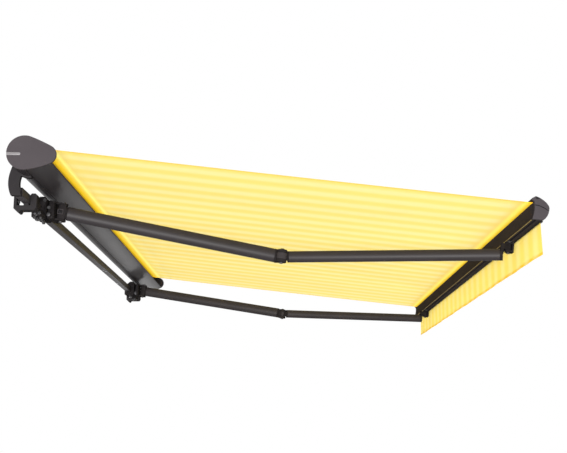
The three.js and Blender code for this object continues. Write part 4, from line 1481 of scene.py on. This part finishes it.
@dataclass
class FrontBar:
    """The bar that the arms push out, with its hood, caps and brackets."""

    back: float = TIP_Y + 14.0
    front: float = TIP_Y - 56.0
    top: float = CLOTH_HEIGHT + 19.6
    bottom: float = BAR_BOTTOM
    valance_y: float = VALANCE_Y
    half_length: float = 1985.0
    cap: float = 18.0
    slot: Point = (4.5, 16.0)

    def face(self) -> Outline:
        """The outer face from the hood's lip over the top and round to the bottom.

        Returns:
            The points.
        """
        lip, level = self.back + 11.0, CLOTH_HEIGHT + self.slot[0]
        middle = (self.top + self.bottom) / 2 + 2.0
        row = [(lip, level), (lip, level + 4.0), (self.back - 5.0, self.top)]
        row += bezier([row[-1], (self.back - 34.0, self.top - 6.0), (self.front, self.top - 32.0),
                       (self.front, middle)], 28)
        row += bezier([row[-1], (self.front, self.bottom + 26.0),
                       (self.front + 12.0, self.bottom + 10.0),
                       (self.front + 23.0, self.bottom)], 22)
        return row

    def rear(self) -> Outline:
        """The hollowed back, from the bottom up to the cloth's slot.

        Returns:
            The points.
        """
        foot = (self.back + 4.0, self.bottom)
        head = (self.back, CLOTH_HEIGHT - self.slot[0])
        return [foot] + bezier([foot, (self.back - 9.0, self.bottom + 48.0), head], 18)

    def profile(self) -> Piece:
        """The bar, with the cloth's slot and the two slots below.

        Returns:
            The piece.
        """
        row = self.face()
        low, narrow = self.bottom, 1.05
        row += [(self.valance_y - narrow, low), (self.valance_y - narrow, low + 8.0),
                (self.valance_y + narrow + 1.0, low + 8.0), (self.valance_y + narrow, low)]
        row += [(TIP_Y - 5.0, low), (TIP_Y - 5.0, low + 8.0), (TIP_Y + 5.0, low + 8.0),
                (TIP_Y + 5.0, low)]
        row += self.rear()
        inner = self.back - self.slot[1]
        row += [(inner, CLOTH_HEIGHT - self.slot[0]), (inner, CLOTH_HEIGHT + self.slot[0])]
        end = self.half_length - self.cap - 0.3
        form = Form().prism(softened(row, 0.9, 45.0, 3), -end, end, 0.3, 1).moved(PLANE)
        return Piece(form.solid("front_bar_shape"), "front_bar", SHADED_BAR_COAT, ("front_bar_profile",))

    def beads(self) -> list[Piece]:
        """The seal on the rear lower edge, its tan a painted reflection of the cloth, and the rail
        that grips the valance.

        Returns:
            The pieces.
        """
        end = self.half_length - self.cap - 6.0
        # The bead's tan paints in the cloth's reflection on the bar's rear edge.
        bead = circle((self.back + 3.0, self.bottom - 0.6), 1.7, 0.6)
        seal = Form().prism(bead, -end, end, 0.5, 2)
        rail = [(self.valance_y - out, self.bottom - down)
                for out, down in ((7.0, 0.3), (5.5, 4.2), (1.2, 4.8), (1.2, 0.3))]
        twin = [(2 * self.valance_y - y, z) for y, z in rail]
        grip = Form()
        for row in (rail, twin):
            grip.joined(Form().prism(softened(row, 0.8), -end, end, 0.4, 1))
        return [
            Piece(seal.moved(PLANE).solid("bar_edge_seal"), "front_bar", SEAL_WITH_PAINTED_REFLECTION),
            Piece(grip.moved(PLANE).solid("valance_rail"), "front_bar", PLASTIC),
        ]

    def end_cap(self, side: Side) -> list[Piece]:
        """An end cap with the seam between its hood and its body; black fillers in the seam and the
        window are painted shade.

        Args:
            side: the end of the awning.

        Returns:
            The pieces.
        """
        row = softened(self.face() + self.rear(), 2.0, 45.0)
        form = Form().prism(row, -self.half_length, -self.half_length + self.cap, 1.0, 3)
        made = form.solid(side.named("front_end_cap_shape"), 40.0)
        # The seam runs from the back to the front, in the fold plane.
        seam = [(self.back + 6.0, 172.0), (self.back - 22.0, 175.0), (self.back - 48.0, 166.0),
                (self.front - 6.0, 144.0)]
        path = [seam[0]] + bezier(seam, 20)
        groove = path + [(y, z - 4.6) for y, z in reversed(path)]
        window = softened([(self.back - 6.0, 208.5), (self.back - 27.0, 203.5),
                           (self.back - 8.0, 197.0)], 2.0)
        for shape, deep in ((groove, 6.0), (window, 9.0)):
            tool = Form().prism(shape, -self.half_length - 3.0, -self.half_length + deep, 0.0, 1)
            carved(made, tool.solid("cap_tool"))
        made.data.transform(Matrix.Scale(MM, 4) @ PLANE @ Matrix.Scale(1 / MM, 4))
        # Black fillers at the bottom of the seam and the window: painted shade in these recesses.
        shade_filler = Form()
        held = [(y, z) for y, z in path if self.front + 3.0 < y < self.back - 6.0]
        line = [(y, z - 0.2) for y, z in held] + [(y, z - 4.4) for y, z in reversed(held)]
        for shape, deep in ((line, 2.6), (drawn_in(window, 0.4), 5.0)):
            start = -self.half_length + deep
            shade_filler.joined(Form().prism(shape, start, start + 1.6, 0.1, 1))
        lining = shade_filler.moved(PLANE).solid(side.named("front_cap_shade_filler"))
        return [
            Piece(turned(made, side), "front_bar", COAT, (side.named("front_end_cap"),)),
            Piece(turned(lining, side), "front_bar", PLASTIC),
        ]

    def build(self) -> list[Piece]:
        """All pieces of the bar.

        Returns:
            The pieces.
        """
        pieces = [self.profile()] + self.beads()
        for side in Side:
            pieces += self.end_cap(side)
            pieces += rounded(side, {"tip_bracket": 1.2}, "front_bar", CAST)
            pieces += rounded(side, {"tip_pin": 0.6}, "front_bar", STEEL)
            pieces.append(self.bracket_bolts(side))
        return pieces

    def bracket_bolts(self, side: Side) -> Piece:
        """The two bolts that hold a tip bracket in the bar's groove.

        Args:
            side: the end of the awning.

        Returns:
            The piece.
        """
        form, low = Form(), self.bottom - 3.0
        section = softened(box((TIP_Y - 11.0, low), (TIP_Y + 11.0, self.bottom - 0.3)), 0.8)
        for shift in (-27.0, 27.0):
            x = SHOULDER_X + shift
            place = Matrix.Translation((x, TIP_Y, low)) @ Matrix.Rotation(math.pi, 4, "X")
            form.joined(Form().prism(section, x - 8.0, x + 8.0, 0.8, 2))
            form.joined(bolt_form(6.5, 5.0, 7.5).moved(place))
        form.moved(PLANE)
        return Piece(turned(form.solid(side.named("bracket_bolts")), side), "front_bar", STEEL)


@dataclass
class Roller:
    """What turns in the cassette: the tube, its plugs and the turns of cloth on it."""

    centre: Point = (66.0, 150.3)
    radius: float = 39.4
    turns: float = 2.0
    gain: float = 0.85
    facets: int = 72

    def build(self) -> list[Piece]:
        """Paints the hidden CAD nodes and winds the cloth on.

        Returns:
            The pieces.
        """
        for node, finish in {
            "roller_tube": SPANGLE, "motor_body": SPANGLE, "idler_plug": PLASTIC,
            "motor_drive_wheel": PLASTIC, "motor_crown": PLASTIC,
            "roller_bearing_left": PLASTIC, "roller_bearing_right": PLASTIC,
        }.items():
            paint(node, finish)
        y, z = self.centre
        spiral, steps = [], self.facets
        for at in range(int(steps * self.turns) + 1):
            angle = math.pi / 2 - 2 * math.pi * (at - steps * self.turns) / steps
            reach = self.radius + self.gain * at / steps
            spiral.append((y + reach * math.cos(angle), z + reach * math.sin(angle)))
        rows = [[(x, a, b) for a, b in spiral] for x in np.linspace(-CLOTH_HALF, CLOTH_HALF, 9)]
        form = Form().loft(rows, capped=False, looped=False).moved(PLANE)
        made = form.made("cloth_turns", 60.0)
        piece = Piece(made, "roller", ROLL_CLOTH, ("cloth_roll",)).settle()
        return [piece]


@dataclass
class Cloth:
    """The stretched cloth and the valance that hangs from the bar."""

    start: float = 66.0
    end: float = TIP_Y + 5.0
    sag: float = 1.5
    closed: float = 0.153
    valance_drop: float = 150.0
    valance_tuck: float = 6.0
    hem: float = 13.0
    side_hem: float = 16.0
    hem_lift: float = 0.9
    pucker: Point = (1.2, 190.0)
    canopy_grid: tuple[int, int] = (61, 97)
    valance_grid: tuple[int, int] = (14, 195)
    waves: tuple[Triple, ...] = ((1.6, 97.0, 0.0), (1.1, 41.0, 1.3), (0.8, 263.0, 0.0))

    def canopy(self) -> Piece:
        """The cloth from the top of the roll to the bar, with folded side hems.

        Returns:
            The piece.
        """
        half, hem, lift = CLOTH_HALF, self.side_hem, self.hem_lift
        tall, wide = self.pucker
        stations = [(-half + hem, -lift), (-half + 1.0, -lift), (-half, -lift / 2),
                    (-half + 1.0, 0.0)]
        stations += [(x, 0.0) for x in np.linspace(-half + hem, half - hem, self.canopy_grid[1])]
        stations += [(half - 1.0, 0.0), (half, -lift / 2), (half - 1.0, -lift), (half - hem, -lift)]
        rows = []
        for along in np.linspace(0.0, 1.0, self.canopy_grid[0]):
            y = self.start + (self.end - self.start) * along
            drop = self.sag * 4 * along * (1 - along)
            level, ripple = CLOTH_HEIGHT - drop, tall * math.sin(math.pi * along)
            rows.append([(x, y, level - ripple * math.sin(x / wide) ** 2 + low)
                         for x, low in stations])
        form = Form().loft(rows, capped=False, looped=False).moved(PLANE)
        made = form.made("stretched_cloth", 60.0)
        length = (self.start - self.end) * MM
        piece = Piece(made, "frame", AWNING_CLOTH, ("awning_cloth",)).settle()
        self.closed / length
        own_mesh(made)
        return piece

    def valance(self) -> Piece:
        """The hanging strip with its doubled hem.

        Returns:
            The piece.
        """
        place = PLANE @ Matrix.Translation((0.0, VALANCE_Y, BAR_BOTTOM))
        place = place @ Matrix.Rotation(-PITCH, 4, "X")
        half, drop = CLOTH_HALF, self.valance_drop
        down = [(self.valance_tuck, 0.0), (0.0, 0.0)]
        levels, columns = self.valance_grid
        down += [(-drop * share, 0.0) for share in np.linspace(0.05, 0.97, levels)]
        down += [(-drop + 1.0, 0.0), (-drop, 0.5), (-drop + 1.0, 1.0), (-drop + self.hem, 0.9)]
        rows = []
        for level, behind in down:
            loose = max(0.0, -level / drop)
            row = []
            for x in np.linspace(-half, half, columns):
                wave = sum(tall * math.sin(x / wide + shift) for tall, wide, shift in self.waves)
                row.append((x, behind + wave * loose**1.5, level))
            rows.append(row)
        form = Form().loft(rows, capped=False, looped=False).moved(place)
        made = form.made("hanging_valance", 60.0)
        piece = Piece(made, "front_bar", VALANCE_CLOTH, ("valance",)).settle()
        return piece

    def build(self) -> list[Piece]:
        """The cloth and the valance."""
        return [self.canopy(), self.valance()]


@dataclass
class Studio:
    """The camera, the lamps, the floor and the world."""

    eye: Triple = (-6.187, -1.2981, -1.0733)
    tilt: float = 11.839
    focal_px: float = 955.0
    width_px: float = 567.0
    sensor: float = 36.0
    floor_z: float = -2.6
    fill: float = 0.22
    floor_fade: Point = (3.5, 8.5)
    floor_glow: float = 0.55

    def build(self) -> None:
        """Sets up everything round the object."""
        self.camera()
        self.lamp("over_the_cloth", (0.0, -7.5, 4.2), (0.0, -1.2, 0.0), (6.0, 3.0), 255.0)
        self.lamp("camera_side", (-14.0, -1.0, -2.4), (-1.0, -1.2, 0.0), (8.0, 2.4), 3200.0)
        self.lamp("far_low", (14.0, 0.45, -3.3), (0.0, -0.2, 0.0), (1.6, 0.8), 32.0)
        for lamp in (
            self.lamp("far_side", (14.0, -1.0, -2.4), (1.0, -1.2, 0.0), (8.0, 2.4), 1800.0),
            self.lamp("behind", (-2.0, 6.0, 1.5), (0.0, 0.0, 0.0), (5.0, 2.0), 300.0),
        ):
            lamp.visible_glossy = False
        self.world()
        self.floor()
        bpy.context.scene.view_settings.view_transform = "Standard"

    def camera(self) -> None:
        """The camera at the photograph's viewing angle."""
        data = bpy.data.cameras.new("camera")
        data.sensor_fit = "HORIZONTAL"
        data.sensor_width = self.sensor
        data.lens = self.focal_px / self.width_px * self.sensor
        data.clip_end = 200.0
        made = bpy.data.objects.new("camera", data)
        made.location = self.eye
        made.rotation_euler = (math.radians(90.0 + self.tilt), 0.0, math.radians(-90.0))
        bpy.context.scene.collection.objects.link(made)
        bpy.context.scene.camera = made

    def lamp(self, name: str, at: Triple, towards: Triple, size: Point,
             power: float) -> bpy.types.Object:
        """A soft rectangular lamp.

        Args:
            name: its name.
            at: its place, in metres.
            towards: the point that it faces.
            size: its width and height.
            power: its power in watts.

        Returns:
            The lamp.
        """
        data = bpy.data.lights.new(name, "AREA")
        data.shape = "RECTANGLE"
        data.size, data.size_y = size
        data.energy = power
        made = bpy.data.objects.new(name, data)
        made.visible_camera = False
        made.location = at
        made.rotation_euler = (Vector(towards) - Vector(at)).to_track_quat("-Z", "Y").to_euler()
        bpy.context.scene.collection.objects.link(made)
        return made

    def seen(self, graph: Graph) -> Wire:
        """1 for rays that show the background: camera, glossy and transmission rays.

        Args:
            graph: the node tree to add to.

        Returns:
            The share.
        """
        kinds = [graph.node("ShaderNodeLightPath", output=f"Is {kind} Ray")
                 for kind in ("Camera", "Glossy", "Transmission")]
        return kinds[0].largest(kinds[1]).largest(kinds[2])

    def world(self) -> None:
        """White where it is seen, and an even, weaker light elsewhere."""
        graph = Graph(bpy.data.worlds.new("studio"))
        white, even = (
            graph.node("ShaderNodeBackground", None,
                       {"Color": (1.0, 1.0, 1.0, 1.0), "Strength": strength})
            for strength in (1.0, self.fill)
        )
        shown = graph.node("ShaderNodeMixShader", None, {0: self.seen(graph), 1: even, 2: white})
        bpy.context.scene.world = graph.finish(shown)

    def floor(self) -> None:
        """A plain pale floor that fades into the white background."""
        rim, rings = 96, (3.0, 5.0, 7.0, 9.0)
        rows = [[(radius / MM * math.cos(turn), radius / MM * math.sin(turn), self.floor_z / MM)
                 for turn in full_turn(rim)] for radius in rings]
        form = Form().loft(rows, capped=False)
        inner = [edge for edge in form.mesh.edges
                 if edge.is_boundary and edge.verts[0].co.xy.length < rings[0] / MM + 1.0]
        bmesh.ops.contextual_create(form.mesh, geom=inner)
        made = form.made("studio_floor", 60.0)
        graph = Graph(bpy.data.materials.new("floor_paint"))
        matt = graph.principled(Base_Color=(0.86, 0.86, 0.86, 1.0), Roughness=0.9,
                                Specular_IOR_Level=0.1)
        glow = graph.node("ShaderNodeEmission", None,
                          {"Color": (1.0, 1.0, 1.0, 1.0), "Strength": 1.0})
        far = graph.vector("LENGTH", (0.0, 0.0, 0.0), "Value")
        white = far.rise(*self.floor_fade) * (1.0 - self.floor_glow) + self.floor_glow
        share = white * self.seen(graph)
        made.data.materials.append(
            graph.finish(graph.node("ShaderNodeMixShader", None, {0: share, 1: matt, 2: glow}))
        )


def main() -> None:
    """Builds the studio and each sub-assembly in turn."""
    logging.basicConfig(level=logging.INFO, format="%(message)s")
    arms = [part for side in Side for part in (Shoulder(side), FoldingArm(side))]
    Studio().build()
    for part in (Cassette(), WallMount(), *arms, FrontBar()):
        for piece in part.build():
            piece.settle()
    Roller().build()
    Cloth().build()


if __name__ == "__main__":
    main()
